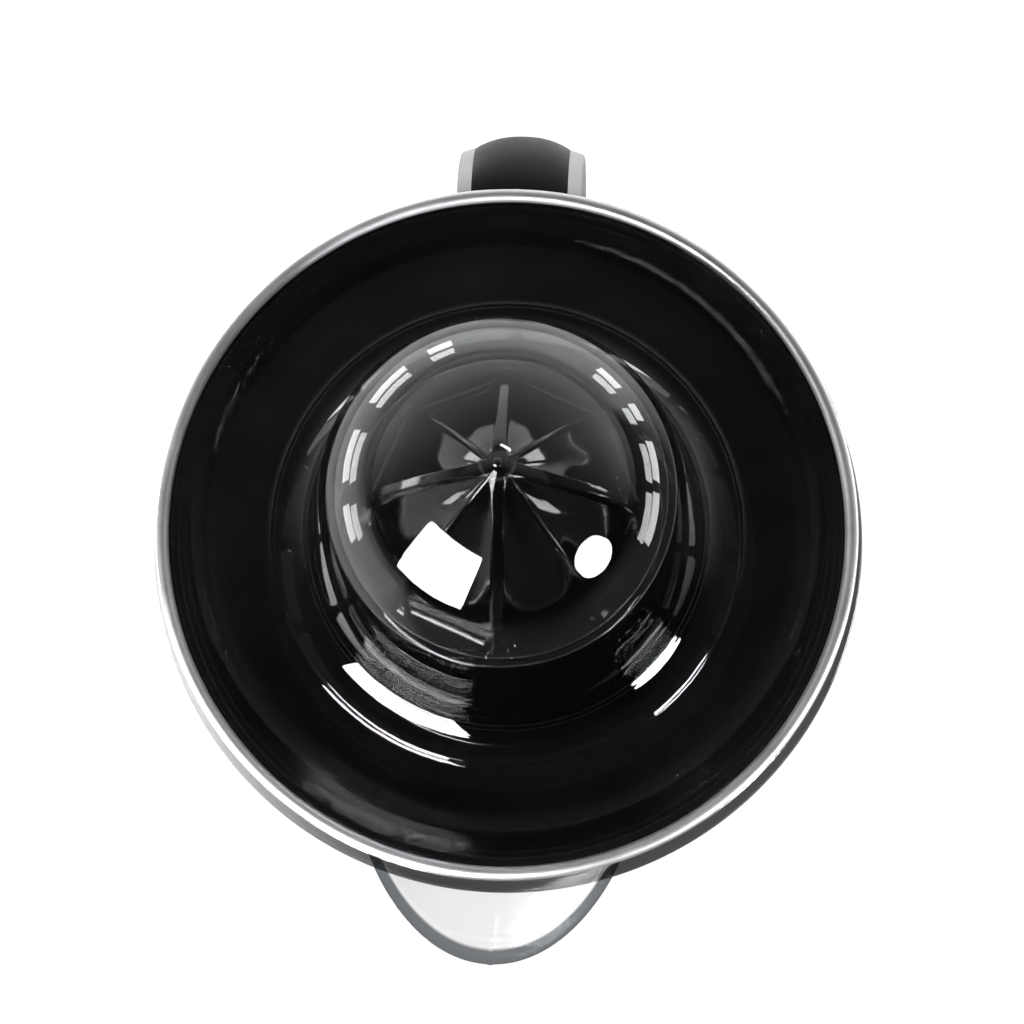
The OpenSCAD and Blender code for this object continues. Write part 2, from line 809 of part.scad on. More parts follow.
module handle_screw_places() {
  for (t = handle_screw_at) translate([0, curve_at(t)[0], curve_at(t)[1]]) rotate([0, 90, 0]) children();
}

module handle_cheek(side) {
  color("#b9bbbe") difference() {
    intersection() {
      translate([side * (grip_w + cheek_t) / 2, 0, 0]) handle_plate(cheek_t, handle_d, 0);
      outside_jug(0.1);
    }
    handle_screw_places() cylinder(r = screw_r, h = 60, center = true);
    handle_screw_places() translate([0, 0, side * (grip_w / 2 + cheek_t)])
      cylinder(r = screw_head_r + 0.2, h = 2 * head_sink, center = true);
  }
}

module handle_cheek_left() {
  handle_cheek(-1);
}

module handle_cheek_right() {
  handle_cheek(1);
}

module handle_grip() {
  color("#151516") difference() {
    intersection() {
      handle_plate(grip_w, handle_d, grip_proud);
      outside_jug(0.1);
    }
    intersection() {
      handle_plate(grip_w - 0.2, handle_d - 3.9, 0.1);
      ring(lug_r + 0.1, 0, 0, jug_rim_z);
    }
    handle_screw_places() cylinder(r = screw_r, h = 60, center = true);
  }
}

module handle_screws() {
  color("silver") for (side = [-1, 1]) handle_screw_places() {
    rotate([side > 0 ? 0 : 180, 0, 0]) {
      translate([0, 0, 1]) cylinder(r = screw_r, h = grip_w / 2 + cheek_t - head_sink - 1);
      translate([0, 0, grip_w / 2 + cheek_t - head_sink]) cylinder(r = screw_head_r, h = 1.2);
    }
  }
}

// ---- bowl ----

function funnel_r(z) =
  floor_out_r + (rim_r - ledge_w - floor_out_r) * (z - funnel_z) / (ledge_z - funnel_z);

module strainer_bowl() {
  under = bowl_wall * 1.25;
  color("#0c0c0d") difference() {
    rotate_extrude() polygon([
      [rim_r, collar_top], [rim_r, ledge_z], [rim_r - ledge_w, ledge_z],
      [floor_out_r + 2, funnel_z + 1.6], [floor_out_r, funnel_z],
      [floor_in_r, funnel_z], [floor_in_r - 2, funnel_z + 1.6],
      [hub_top_r, hub_plate_z], [tube_r, hub_plate_z], [tube_r, hub_plate_z + tube_h],
      [tube_in_r, hub_plate_z + tube_h], [tube_in_r, hub_plate_z - bowl_wall],
      [hub_top_r - under, hub_plate_z - bowl_wall],
      [floor_in_r - 2 - under, funnel_z + 1.6 - bowl_wall / 2], [floor_in_r, funnel_z - bowl_wall],
      [floor_out_r + 0.5, funnel_z - bowl_wall], [floor_out_r + 2 + under, funnel_z],
      [skirt_out_r - skirt_t, ledge_z - 8], [skirt_low_r - skirt_t, jug_rim_z - skirt_h],
      [skirt_low_r, jug_rim_z - skirt_h], [skirt_out_r, collar_z],
      [collar_low_r, collar_z], [collar_top_r, collar_top]
    ]);
    for (i = [0:slot_count - 1]) rotate(360 / slot_count * (i + 0.5) - slot_arc / 2)
      translate([0, 0, funnel_z - 2 * bowl_wall])
        rotate_extrude(angle = slot_arc) translate([slot_ring_r - slot_w / 2, 0])
          square([slot_w, 4 * bowl_wall]);
  }
}

module steel_band() {
  color("silver") rotate_extrude() polygon([
    [collar_low_r, collar_z], [collar_low_r + band_t, collar_z],
    [collar_top_r + band_t, collar_top], [collar_top_r, collar_top]
  ]);
}

module rim_bead() {
  color("#e8eaec") rotate_extrude() intersection() {
    translate([bead_r, collar_top + 0.3 * bead_d]) circle(d = bead_d);
    translate([rim_r - 1, collar_top]) square([bead_d + 2, bead_d]);
  }
}

// ---- reamer ----

module cone_ring() {
  color("ivory") {
    ring(ring_in_r + ring_t, ring_in_r, ring_z, socket_z - slide_gap - ring_z);
  }
}

// Half outline of the fluted cone, pulled in by inset
function ream_r(t) = (reamer_r - 3) * pow(cos(90 * t), 0.8) * (1 - 0.12 * t);
function ream_line(inset) =
  [for (i = [0:ream_steps]) let (t = i / ream_steps)
    [max(0, ream_r(t) - inset), reamer_z + skirt_edge_h + (reamer_h - skirt_edge_h - inset) * t]];

module reamer() {
  core = ream_line(ridge_depth);
  hollow = ream_line(ridge_depth + shell_t);
  color("#0a0a0b") difference() {
    union() {
      difference() {
        union() {
          rotate_extrude() polygon(concat([[0, reamer_z + skirt_edge_h]], core));
          for (i = [0:ridge_count - 1]) rotate(90 + 360 / ridge_count * i) rotate([90, 0, 0])
            linear_extrude(height = ridge_t, center = true)
              polygon(concat([[0, reamer_z + skirt_edge_h]], ream_line(0)));
          bar(reamer_r, reamer_z, skirt_edge_h);
        }
        rotate_extrude() polygon(concat([[0, reamer_z + skirt_edge_h - 0.01]], hollow));
        bar(ream_r(0) - ridge_depth - shell_t, reamer_z - 1, 6);
      }
      intersection() {
        bar(boss_cone_r, socket_z, reamer_h);
        rotate_extrude() polygon(concat([[0, socket_z - 1], [reamer_r, socket_z - 1]], core));
      }
    }
    hex_bar(hex_af + 2 * key_gap, socket_z - 1, socket_h + 1);
  }
}

// ---- cover ----

function cover_line(grow) =
  let (
    ro = dome_r + grow,
    fr = fillet_r - grow,
    fc = [fillet_at, annulus_z + cover_wall + fillet_r]
  )
  concat(
    [[funnel_r(annulus_z) - 2.4, annulus_z + cover_wall + grow]],
    arc(fc, fr, 270, 180 + draft, 7),
    arc([0, dome_z], ro, draft, 90, 16)
  );

module dust_cover() {
  color("#e4ebef", 0.35) difference() {
    union() {
      rotate_extrude() polygon(concat(
        cover_line(0),
        [[0, dome_z + dome_r - cover_wall]],
        [for (i = [len(cover_line(-cover_wall)) - 1:-1:0]) cover_line(-cover_wall)[i]],
        [[lip_out_r - 2 - cover_wall, lip_z], [lip_out_r, lip_z], [lip_out_r, lip_z + 1.3],
          [lip_out_r - 2, lip_z + 1.3], [funnel_r(annulus_z) - 2.4 + 0.6, annulus_z + cover_wall + 0.6]]
      ));
      bar(dimple_r + 2, dome_z + dome_r - 2 * cover_wall, cover_wall);
    }
    bar(dimple_r, dome_z + dome_r - dimple_d - 0.3, 5);
  }
}

base_housing();
base_sleeve();
bottom_cover();
rubber_feet();
bottom_screws();
cord_gland();
gear_plate();
gear_plate_screws();
compound_axle();
spindle_bush_low();
tower_bush_low();
tower_bush_top();
return_spring();
motor_core();
coil_bobbin();
motor_winding();
motor_bracket_low();
motor_bracket_top();
motor_bushes();
motor_bolts();
motor_rotor();
motor_shaft();
motor_pinion();
compound_gear();
output_gear();
thrust_washer();
drive_spindle();
spindle_clip();
switch_body();
switch_bracket();
switch_lever();
switch_plunger();
terminal_block();
terminal_screws();
jug_vessel();
handle_cheek_left();
handle_cheek_right();
handle_grip();
handle_screws();
strainer_bowl();
steel_band();
rim_bead();
cone_ring();
reamer();
dust_cover();
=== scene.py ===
import json
import math
import bmesh
import bpy
from mathutils import Matrix, Vector


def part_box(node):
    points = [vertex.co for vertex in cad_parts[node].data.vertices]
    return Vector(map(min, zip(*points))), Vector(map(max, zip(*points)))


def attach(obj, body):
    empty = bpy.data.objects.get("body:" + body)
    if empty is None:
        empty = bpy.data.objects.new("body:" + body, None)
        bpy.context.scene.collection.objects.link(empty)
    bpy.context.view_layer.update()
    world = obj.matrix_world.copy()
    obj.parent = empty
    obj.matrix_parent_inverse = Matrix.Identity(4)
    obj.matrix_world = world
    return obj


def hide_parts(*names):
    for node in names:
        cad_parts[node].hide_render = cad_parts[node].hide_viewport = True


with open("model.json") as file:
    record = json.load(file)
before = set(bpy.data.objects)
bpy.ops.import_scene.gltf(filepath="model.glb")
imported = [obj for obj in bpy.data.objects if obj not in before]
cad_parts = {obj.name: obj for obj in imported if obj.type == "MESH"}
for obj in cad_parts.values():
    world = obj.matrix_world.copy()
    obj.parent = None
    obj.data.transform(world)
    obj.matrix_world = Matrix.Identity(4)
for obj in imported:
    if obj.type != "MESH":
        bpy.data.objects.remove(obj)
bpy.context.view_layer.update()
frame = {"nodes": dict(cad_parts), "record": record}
record = frame["record"]
mm = 0.001

# Places that every piece shares, all taken from the frame
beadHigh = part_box("rim_bead")[1]
bandLow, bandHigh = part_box("steel_band")
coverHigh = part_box("dust_cover")[1]
reamerLow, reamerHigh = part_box("reamer")
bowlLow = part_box("strainer_bowl")[0]
jugLow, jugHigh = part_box("jug_vessel")
rimZ = beadHigh.z
print("frame loaded, rim at", round(rimZ, 4))


def ease(x):
    x = max(0.0, min(1.0, x))
    return x * x * (3 - 2 * x)


def roundedPath(points, closed=True, step=0.0006):
    # points are (r, z, fillet radius); each corner becomes an arc
    out = []
    n = len(points)
    for i in range(n):
        x, z, f = points[i]
        here = Vector((x, z))
        if (not closed and i in (0, n - 1)) or f <= 0:
            out.append(here)
            continue
        before = Vector(points[(i - 1) % n][:2]) - here
        after = Vector(points[(i + 1) % n][:2]) - here
        turn = before.angle(after)
        if turn > math.radians(176):
            out.append(here)
            continue
        reach = min(f / math.tan(turn / 2), before.length * 0.49, after.length * 0.49)
        radius = reach * math.tan(turn / 2)
        middle = (before.normalized() + after.normalized()).normalized()
        centre = here + middle * radius / math.sin(turn / 2)
        start = here + before.normalized() * reach - centre
        end = here + after.normalized() * reach - centre
        sweep = math.atan2(start.x * end.y - start.y * end.x, start.dot(end))
        steps = max(2, min(12, int(abs(sweep) * radius / step) + 2))
        for k in range(steps + 1):
            a = sweep * k / steps
            out.append(centre + Vector((start.x * math.cos(a) - start.y * math.sin(a),
                                        start.x * math.sin(a) + start.y * math.cos(a))))
    return out


def arcPath(cx, cz, radius, fromAngle, toAngle, steps):
    return [Vector((cx + radius * math.cos(math.radians(fromAngle + (toAngle - fromAngle) * k / steps)),
                    cz + radius * math.sin(math.radians(fromAngle + (toAngle - fromAngle) * k / steps))))
            for k in range(steps + 1)]


def finishMesh(name, bm, material, sharp=35):
    bmesh.ops.remove_doubles(bm, verts=bm.verts, dist=1e-6)
    bmesh.ops.recalc_face_normals(bm, faces=bm.faces)
    mesh = bpy.data.meshes.new(name)
    bm.to_mesh(mesh)
    bm.free()
    mesh.polygons.foreach_set("use_smooth", [True] * len(mesh.polygons))
    mesh.set_sharp_from_angle(angle=math.radians(sharp))
    mesh.materials.append(material)
    piece = bpy.data.objects.new(name, mesh)
    bpy.context.collection.objects.link(piece)
    return piece


def addGrid(bm, rows, closeColumns=True):
    # rows are equally long closed rings of points
    verts = [[bm.verts.new(p) for p in row] for row in rows]
    count = len(rows[0])
    for i in range(len(rows) if closeColumns else len(rows) - 1):
        a, b = verts[i], verts[(i + 1) % len(rows)]
        for j in range(count):
            k = (j + 1) % count
            try:
                bm.faces.new((a[j], a[k], b[k], b[j]))
            except ValueError:
                pass
    return verts


def lathe(name, path, material, segments=192, sharp=35):
    bm = bmesh.new()
    rows = []
    for p in path:
        rows.append([(max(p.x, 0.0) * math.cos(2 * math.pi * k / segments),
                      max(p.x, 0.0) * math.sin(2 * math.pi * k / segments), p.y) for k in range(segments)])
    addGrid(bm, rows)
    return finishMesh(name, bm, material, sharp)


def newMaterial(name):
    mat = bpy.data.materials.new(name)
    mat.use_nodes = True
    return mat, mat.node_tree, mat.node_tree.nodes["Principled BSDF"]


def addNode(tree, kind, **values):
    node = tree.nodes.new(kind)
    for key, value in values.items():
        if hasattr(node, key):
            setattr(node, key, value)
        else:
            node.inputs[key.replace("_", " ")].default_value = value
    return node


def noise(tree, scale, detail=4, roughness=0.5, stretch=(1, 1, 1)):
    place = addNode(tree, "ShaderNodeTexCoord")
    mapping = addNode(tree, "ShaderNodeMapping")
    mapping.inputs["Scale"].default_value = stretch
    field = addNode(tree, "ShaderNodeTexNoise")
    field.inputs["Scale"].default_value = scale
    field.inputs["Detail"].default_value = detail
    field.inputs["Roughness"].default_value = roughness
    tree.links.new(place.outputs["Object"], mapping.inputs["Vector"])
    tree.links.new(mapping.outputs["Vector"], field.inputs["Vector"])
    return field.outputs["Fac"]


def remap(tree, source, low, high, fromLow=0.3, fromHigh=0.7):
    node = addNode(tree, "ShaderNodeMapRange")
    node.inputs["From Min"].default_value = fromLow
    node.inputs["From Max"].default_value = fromHigh
    node.inputs["To Min"].default_value = low
    node.inputs["To Max"].default_value = high
    tree.links.new(source, node.inputs["Value"])
    return node.outputs["Result"]


def mixColours(tree, factor, first, second):
    node = addNode(tree, "ShaderNodeMix", data_type="RGBA")
    node.inputs[6].default_value = (*first, 1)
    node.inputs[7].default_value = (*second, 1)
    tree.links.new(factor, node.inputs[0])
    return node.outputs[2]


def bump(tree, height, strength, distance, shader):
    node = addNode(tree, "ShaderNodeBump")
    node.inputs["Strength"].default_value = strength
    node.inputs["Distance"].default_value = distance
    tree.links.new(height, node.inputs["Height"])
    tree.links.new(node.outputs["Normal"], shader.inputs["Normal"])
    return node


def plastic(name, dark, light, rough, grain=900, grainDepth=0.00002, scuffs=0.06, sheen=0.5):
    # moulded plastic: faint colour drift, uneven gloss and a fine orange peel
    mat, tree, shader = newMaterial(name)
    drift = noise(tree, 25, 3)
    tree.links.new(mixColours(tree, remap(tree, drift, 0, 1), dark, light), shader.inputs["Base Color"])
    wear = noise(tree, 60, 8, 0.7, (1, 1, 0.35))
    tree.links.new(remap(tree, wear, rough, rough + scuffs, 0.35, 0.75), shader.inputs["Roughness"])
    bump(tree, noise(tree, grain, 2), 0.25, grainDepth, shader)
    shader.inputs["Specular IOR Level"].default_value = sheen
    return mat


def metal(name, colour, rough, stretch, spread=0.12, scale=180, depth=0.00001):
    # drawn, ground or turned metal: fine lines along one direction
    mat, tree, shader = newMaterial(name)
    shader.inputs["Metallic"].default_value = 1.0
    lines = noise(tree, scale, 6, 0.65, stretch)
    paler = tuple(min(1.0, c * 1.12) for c in colour)
    darker = tuple(c * 0.86 for c in colour)
    tree.links.new(mixColours(tree, remap(tree, lines, 0, 1), darker, paler), shader.inputs["Base Color"])
    tree.links.new(remap(tree, lines, rough, rough + spread), shader.inputs["Roughness"])
    bump(tree, lines, 0.3, depth, shader)
    return mat


def clearPlastic(name, tint, rough, ior, haze, wall=1.0):
    # thin clear wall: see-through by Fresnel, same on its way in and out, with faint wipe marks
    mat, tree, shader = newMaterial(name)
    out = tree.nodes["Material Output"]
    tree.nodes.remove(shader)
    geometry = addNode(tree, "ShaderNodeNewGeometry")
    iorValue = remap(tree, geometry.outputs["Backfacing"], ior, 1 / ior, 0, 1)
    fresnel = addNode(tree, "ShaderNodeFresnel")
    tree.links.new(iorValue, fresnel.inputs["IOR"])
    clear = addNode(tree, "ShaderNodeBsdfTransparent")
    # looked at along the wall, or down on its cut edge, the plastic is deeper and so greyer
    facing = addNode(tree, "ShaderNodeLayerWeight")
    facing.inputs["Blend"].default_value = 0.25
    edge = addNode(tree, "ShaderNodeAttribute", attribute_name="edge")
    deep = addNode(tree, "ShaderNodeMath", operation="MAXIMUM")
    seen = addNode(tree, "ShaderNodeMath", operation="MULTIPLY")
    seen.inputs[1].default_value = wall
    tree.links.new(facing.outputs["Facing"], seen.inputs[0])
    tree.links.new(seen.outputs[0], deep.inputs[0])
    tree.links.new(edge.outputs["Fac"], deep.inputs[1])
    tree.links.new(mixColours(tree, deep.outputs[0], (1, 1, 1), tint), clear.inputs["Color"])
    gloss = addNode(tree, "ShaderNodeBsdfGlossy")
    marks = noise(tree, 45, 8, 0.7, (1, 1, 0.4))
    tree.links.new(remap(tree, marks, rough, rough + 0.012, 0.45, 0.8), gloss.inputs["Roughness"])
    peel = addNode(tree, "ShaderNodeBump")
    peel.inputs["Strength"].default_value = 0.04
    peel.inputs["Distance"].default_value = 0.00004
    tree.links.new(noise(tree, 90, 3), peel.inputs["Height"])
    tree.links.new(peel.outputs["Normal"], gloss.inputs["Normal"])
    tree.links.new(peel.outputs["Normal"], fresnel.inputs["Normal"])
    mixer = addNode(tree, "ShaderNodeMixShader")
    tree.links.new(fresnel.outputs["Fac"], mixer.inputs["Fac"])
    tree.links.new(clear.outputs["BSDF"], mixer.inputs[1])
    tree.links.new(gloss.outputs["BSDF"], mixer.inputs[2])
    veil = addNode(tree, "ShaderNodeBsdfDiffuse")
    veil.inputs["Color"].default_value = (0.8, 0.82, 0.84, 1)
    last = addNode(tree, "ShaderNodeMixShader")
    tree.links.new(remap(tree, marks, haze * 0.3, haze, 0.4, 0.8), last.inputs["Fac"])
    tree.links.new(mixer.outputs["Shader"], last.inputs[1])
    tree.links.new(veil.outputs["BSDF"], last.inputs[2])
    tree.links.new(last.outputs["Shader"], out.inputs["Surface"])
    return mat


blackGloss = plastic("blackGloss", (0.0012, 0.0012, 0.0013), (0.002, 0.002, 0.0021), 0.13,
                     900, 0.000001, 0.02)
blackReamer = plastic("blackReamer", (0.001, 0.001, 0.0011), (0.0017, 0.0017, 0.0018), 0.05,
                      900, 0.000001, 0.015, 0.3)
blackMatte = plastic("blackMatte", (0.018, 0.018, 0.019), (0.03, 0.03, 0.031), 0.45, 1400, 0.00006, 0.12)
softGrip = plastic("softGrip", (0.003, 0.003, 0.0032), (0.005, 0.005, 0.0052), 0.42,
                   1600, 0.00005, 0.1, 0.25)
footRubber = plastic("footRubber", (0.02, 0.02, 0.02), (0.035, 0.034, 0.033), 0.62, 700, 0.0001, 0.2)
nylon = plastic("nylon", (0.62, 0.6, 0.53), (0.75, 0.73, 0.66), 0.38, 500, 0.00005, 0.15)
bobbin = plastic("bobbin", (0.55, 0.5, 0.38), (0.65, 0.6, 0.48), 0.42, 500, 0.00005, 0.15)
switchBlack = plastic("switchBlack", (0.015, 0.015, 0.017), (0.03, 0.03, 0.032), 0.4, 900, 0.00005)
switchRed = plastic("switchRed", (0.4, 0.03, 0.02), (0.5, 0.05, 0.035), 0.35, 900, 0.00004)
steelBand = metal("steelBand", (0.62, 0.62, 0.63), 0.15, (1, 1, 60), 0.05, 30)
chromeBead = metal("chromeBead", (0.82, 0.82, 0.84), 0.34, (1, 1, 8), 0.06, 40, 0.000002)
brushedSleeve = metal("brushedSleeve", (0.56, 0.56, 0.57), 0.24, (1, 1, 90), 0.12, 30)
sheetSteel = metal("sheetSteel", (0.5, 0.5, 0.51), 0.32, (1, 12, 1), 0.15, 60)
groundSteel = metal("groundSteel", (0.6, 0.6, 0.61), 0.2, (1, 1, 20), 0.12, 90)
wireSteel = metal("wireSteel", (0.42, 0.42, 0.43), 0.26, (3, 3, 3), 0.15, 120)
zincScrew = metal("zincScrew", (0.6, 0.6, 0.58), 0.28, (2, 2, 2), 0.15, 150)
bronzeBush = metal("bronzeBush", (0.5, 0.33, 0.15), 0.38, (2, 2, 2), 0.2, 400)
rotorMetal = metal("rotorMetal", (0.55, 0.55, 0.56), 0.3, (1, 1, 25), 0.15, 60)
silverPaint = plastic("silverPaint", (0.29, 0.295, 0.3), (0.36, 0.365, 0.37), 0.42, 1500, 0.00001, 0.1)
clearCover = clearPlastic("clearCover", (0.8, 0.82, 0.83), 0.008, 1.5, 0.003)
clearJug = clearPlastic("clearJug", (0.15, 0.16, 0.17), 0.02, 1.52, 0.01, 0.45)


def laminatedIron():
    mat, tree, shader = newMaterial("laminatedIron")
    shader.inputs["Metallic"].default_value = 0.9
    place = addNode(tree, "ShaderNodeTexCoord")
    sheets = addNode(tree, "ShaderNodeTexWave", bands_direction="Z")
    sheets.inputs["Scale"].default_value = 320
    sheets.inputs["Distortion"].default_value = 0.4
    tree.links.new(place.outputs["Object"], sheets.inputs["Vector"])
    edge = remap(tree, sheets.outputs["Fac"], 0, 1, 0.1, 0.5)
    shade = mixColours(tree, edge, (0.08, 0.075, 0.07), (0.34, 0.34, 0.35))
    tree.links.new(shade, shader.inputs["Base Color"])
    tree.links.new(remap(tree, noise(tree, 120, 5), 0.35, 0.6), shader.inputs["Roughness"])
    bump(tree, sheets.outputs["Fac"], 0.6, 0.0001, shader)
    return mat


def copperWinding():
    mat, tree, shader = newMaterial("copperWinding")
    shader.inputs["Metallic"].default_value = 0.7
    place = addNode(tree, "ShaderNodeTexCoord")
    turns = addNode(tree, "ShaderNodeTexWave", bands_direction="X")
    turns.inputs["Scale"].default_value = 420
    turns.inputs["Distortion"].default_value = 0.6
    tree.links.new(place.outputs["Object"], turns.inputs["Vector"])
    wire = remap(tree, turns.outputs["Fac"], 0, 1, 0.15, 0.7)
    shade = mixColours(tree, wire, (0.1, 0.03, 0.01), (0.55, 0.2, 0.07))
    tree.links.new(shade, shader.inputs["Base Color"])
    tree.links.new(remap(tree, noise(tree, 200, 4), 0.25, 0.4), shader.inputs["Roughness"])
    bump(tree, turns.outputs["Fac"], 0.8, 0.00015, shader)
    return mat


slotMaterials = {
    "black_gloss": blackGloss, "black_matte": blackMatte, "brushed_steel": brushedSleeve,
    "polished_steel": steelBand, "chrome": chromeBead, "silver_paint": silverPaint,
    "soft_grip": softGrip, "foot_rubber": footRubber, "clear_jug": clearJug, "clear_lid": clearCover,
    "zinc_screw": zincScrew, "plate_steel": sheetSteel, "shaft_steel": groundSteel,
    "spring_steel": wireSteel, "bronze": bronzeBush, "lamination": laminatedIron(),
    "winding": copperWinding(), "bobbin": bobbin, "nylon": nylon, "rotor": rotorMetal,
    "switch_black": switchBlack, "switch_red": switchRed,
}
for part in record["subparts"]:
    carried = frame["nodes"].get(part["node"])
    if carried is not None:
        for materialSlot in carried.material_slots:
            materialSlot.material = slotMaterials[part["material_slot"]]
print("materials on the carried nodes")


coverShape = {
    "wall": 2.0 * mm, "domeRadius": 44.6 * mm, "draft": 5.0, "filletRadius": 9 * mm,
    "filletAt": 57 * mm, "stepAt": 58.4 * mm, "step": 1.2 * mm, "annulusTop": 8.0 * mm,
    "lipReach": 84.2 * mm, "lipDrop": 4.3 * mm,
    "dimple": 4.0 * mm, "dimpleDepth": 0.9 * mm,
}


def makeCover():
    c = coverShape
    domeZ = coverHigh.z - c["domeRadius"]
    flatZ = rimZ - c["annulusTop"]
    lipZ = rimZ - c["lipDrop"]
    slopeTop = 75.4 * mm
    filletZ = flatZ + c["step"] + c["filletRadius"]

    def side(grow):
        # from the flat ring up over the dome to the axis
        radius = c["domeRadius"] + grow
        fillet = c["filletRadius"] - grow
        path = arcPath(c["filletAt"], filletZ, fillet, 270, 180 + c["draft"], 24)
        skirtTop = arcPath(0, domeZ, radius, c["draft"], 90, 40)
        for k in range(1, 6):
            path.append(path[24].lerp(skirtTop[0], k / 6))
        return path + skirtTop

    # a small step rings the dome's foot
    step = roundedPath([
        (slopeTop - 6 * mm, flatZ, 0), (c["stepAt"] + 1.6 * mm, flatZ, 2.5 * mm),
        (c["stepAt"], flatZ + c["step"] + 0.25 * mm, 0.5 * mm), (c["filletAt"], flatZ + c["step"], 0)],
        closed=False, step=0.15 * mm)
    outer = step[:-1] + side(0)
    top = outer[-1].y
    # more rings across the dimple, ending in the small gate mark
    dimpleRing = [Vector((r * mm, 0)) for r in (5.2, 4.7, 4.3, 3.9, 3.5, 3.0, 2.2, 1.3, 1.1, 0.9, 0.5, 0)]
    for p in dimpleRing:
        edge = 1 - ease((p.x - c["dimple"] + 0.6 * mm) / (1.4 * mm))
        nub = 0.55 * mm * (1 - ease((p.x - 0.7 * mm) / (0.5 * mm)))
        sag = c["domeRadius"] - math.sqrt(c["domeRadius"] ** 2 - p.x ** 2)
        p.y = top - sag - c["dimpleDepth"] * edge + nub
    dished = [p for p in outer if p.x > 5.4 * mm] + dimpleRing
    inner = side(-c["wall"])
    under = list(reversed(inner))
    lip = roundedPath([
        (slopeTop + 0.2 * mm, flatZ - c["wall"], 1.2 * mm),
        (c["lipReach"] - 4 * mm, lipZ, 1.5 * mm), (c["lipReach"], lipZ, 0.5 * mm),
        (c["lipReach"], lipZ + 1.3 * mm, 0.5 * mm), (c["lipReach"] - 2 * mm, lipZ + 1.3 * mm, 1.0 * mm),
        (slopeTop, flatZ, 1.5 * mm)], closed=False)
    loop = dished + under + lip
    return lathe("coverDome", loop, clearCover, 224, 40)


coverDome = makeCover()
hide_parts("dust_cover")
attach(coverDome, "lid")
print("cover made")


reamerShape = {
    "ridges": 8, "radius": 36.0 * mm, "skirtRadius": 39.0 * mm, "skirtHeight": 4.0 * mm,
    "flute": 0.2, "ribHeight": 1.8 * mm, "ribHalf": 0.9 * mm, "foot": 0.8 * mm, "boss": 8.0 * mm,
}


def mathNode(tree, operation, first, second=None, third=None):
    node = tree.nodes.new("ShaderNodeMath")
    node.operation = operation
    for index, value in enumerate((first, second, third)):
        if value is None:
            continue
        if hasattr(value, "links"):
            tree.links.new(value, node.inputs[index])
        else:
            node.inputs[index].default_value = value
    return node.outputs[0]


def nodeTree(name, inputs):
    # a Geometry Nodes tree with named inputs and one geometry output
    tree = bpy.data.node_groups.new(name, "GeometryNodeTree")
    tree.interface.new_socket("Geometry", in_out="INPUT", socket_type="NodeSocketGeometry")
    for label, kind, value in inputs:
        socket = tree.interface.new_socket(label, in_out="INPUT", socket_type=kind)
        if value is not None:
            socket.default_value = value
    tree.interface.new_socket("Geometry", in_out="OUTPUT", socket_type="NodeSocketGeometry")
    return tree, tree.nodes.new("NodeGroupInput"), tree.nodes.new("NodeGroupOutput")


def endTree(tree, geometry, material, last):
    real = tree.nodes.new("GeometryNodeRealizeInstances")
    paint = tree.nodes.new("GeometryNodeSetMaterial")
    paint.inputs["Material"].default_value = material
    tree.links.new(geometry, real.inputs[0])
    tree.links.new(real.outputs[0], paint.inputs["Geometry"])
    tree.links.new(paint.outputs["Geometry"], last.inputs["Geometry"])


def bakeNodes(name, tree, values, source=None):
    # runs the tree once and returns its result as a plain mesh in bmesh form
    carrier = bpy.data.objects.new(name + "Carrier", source or bpy.data.meshes.new(name + "Seed"))
    bpy.context.collection.objects.link(carrier)
    modifier = carrier.modifiers.new("Nodes", "NODES")
    modifier.node_group = tree
    names = {item.name: item.identifier for item in tree.interface.items_tree if item.in_out == "INPUT"}
    for label, value in values.items():
        modifier[names[label]] = value
    graph = bpy.context.evaluated_depsgraph_get()
    graph.update()
    mesh = bpy.data.meshes.new_from_object(carrier.evaluated_get(graph), depsgraph=graph)
    bm = bmesh.new()
    bm.from_mesh(mesh)
    bpy.data.objects.remove(carrier)
    bpy.data.meshes.remove(mesh)
    return bm


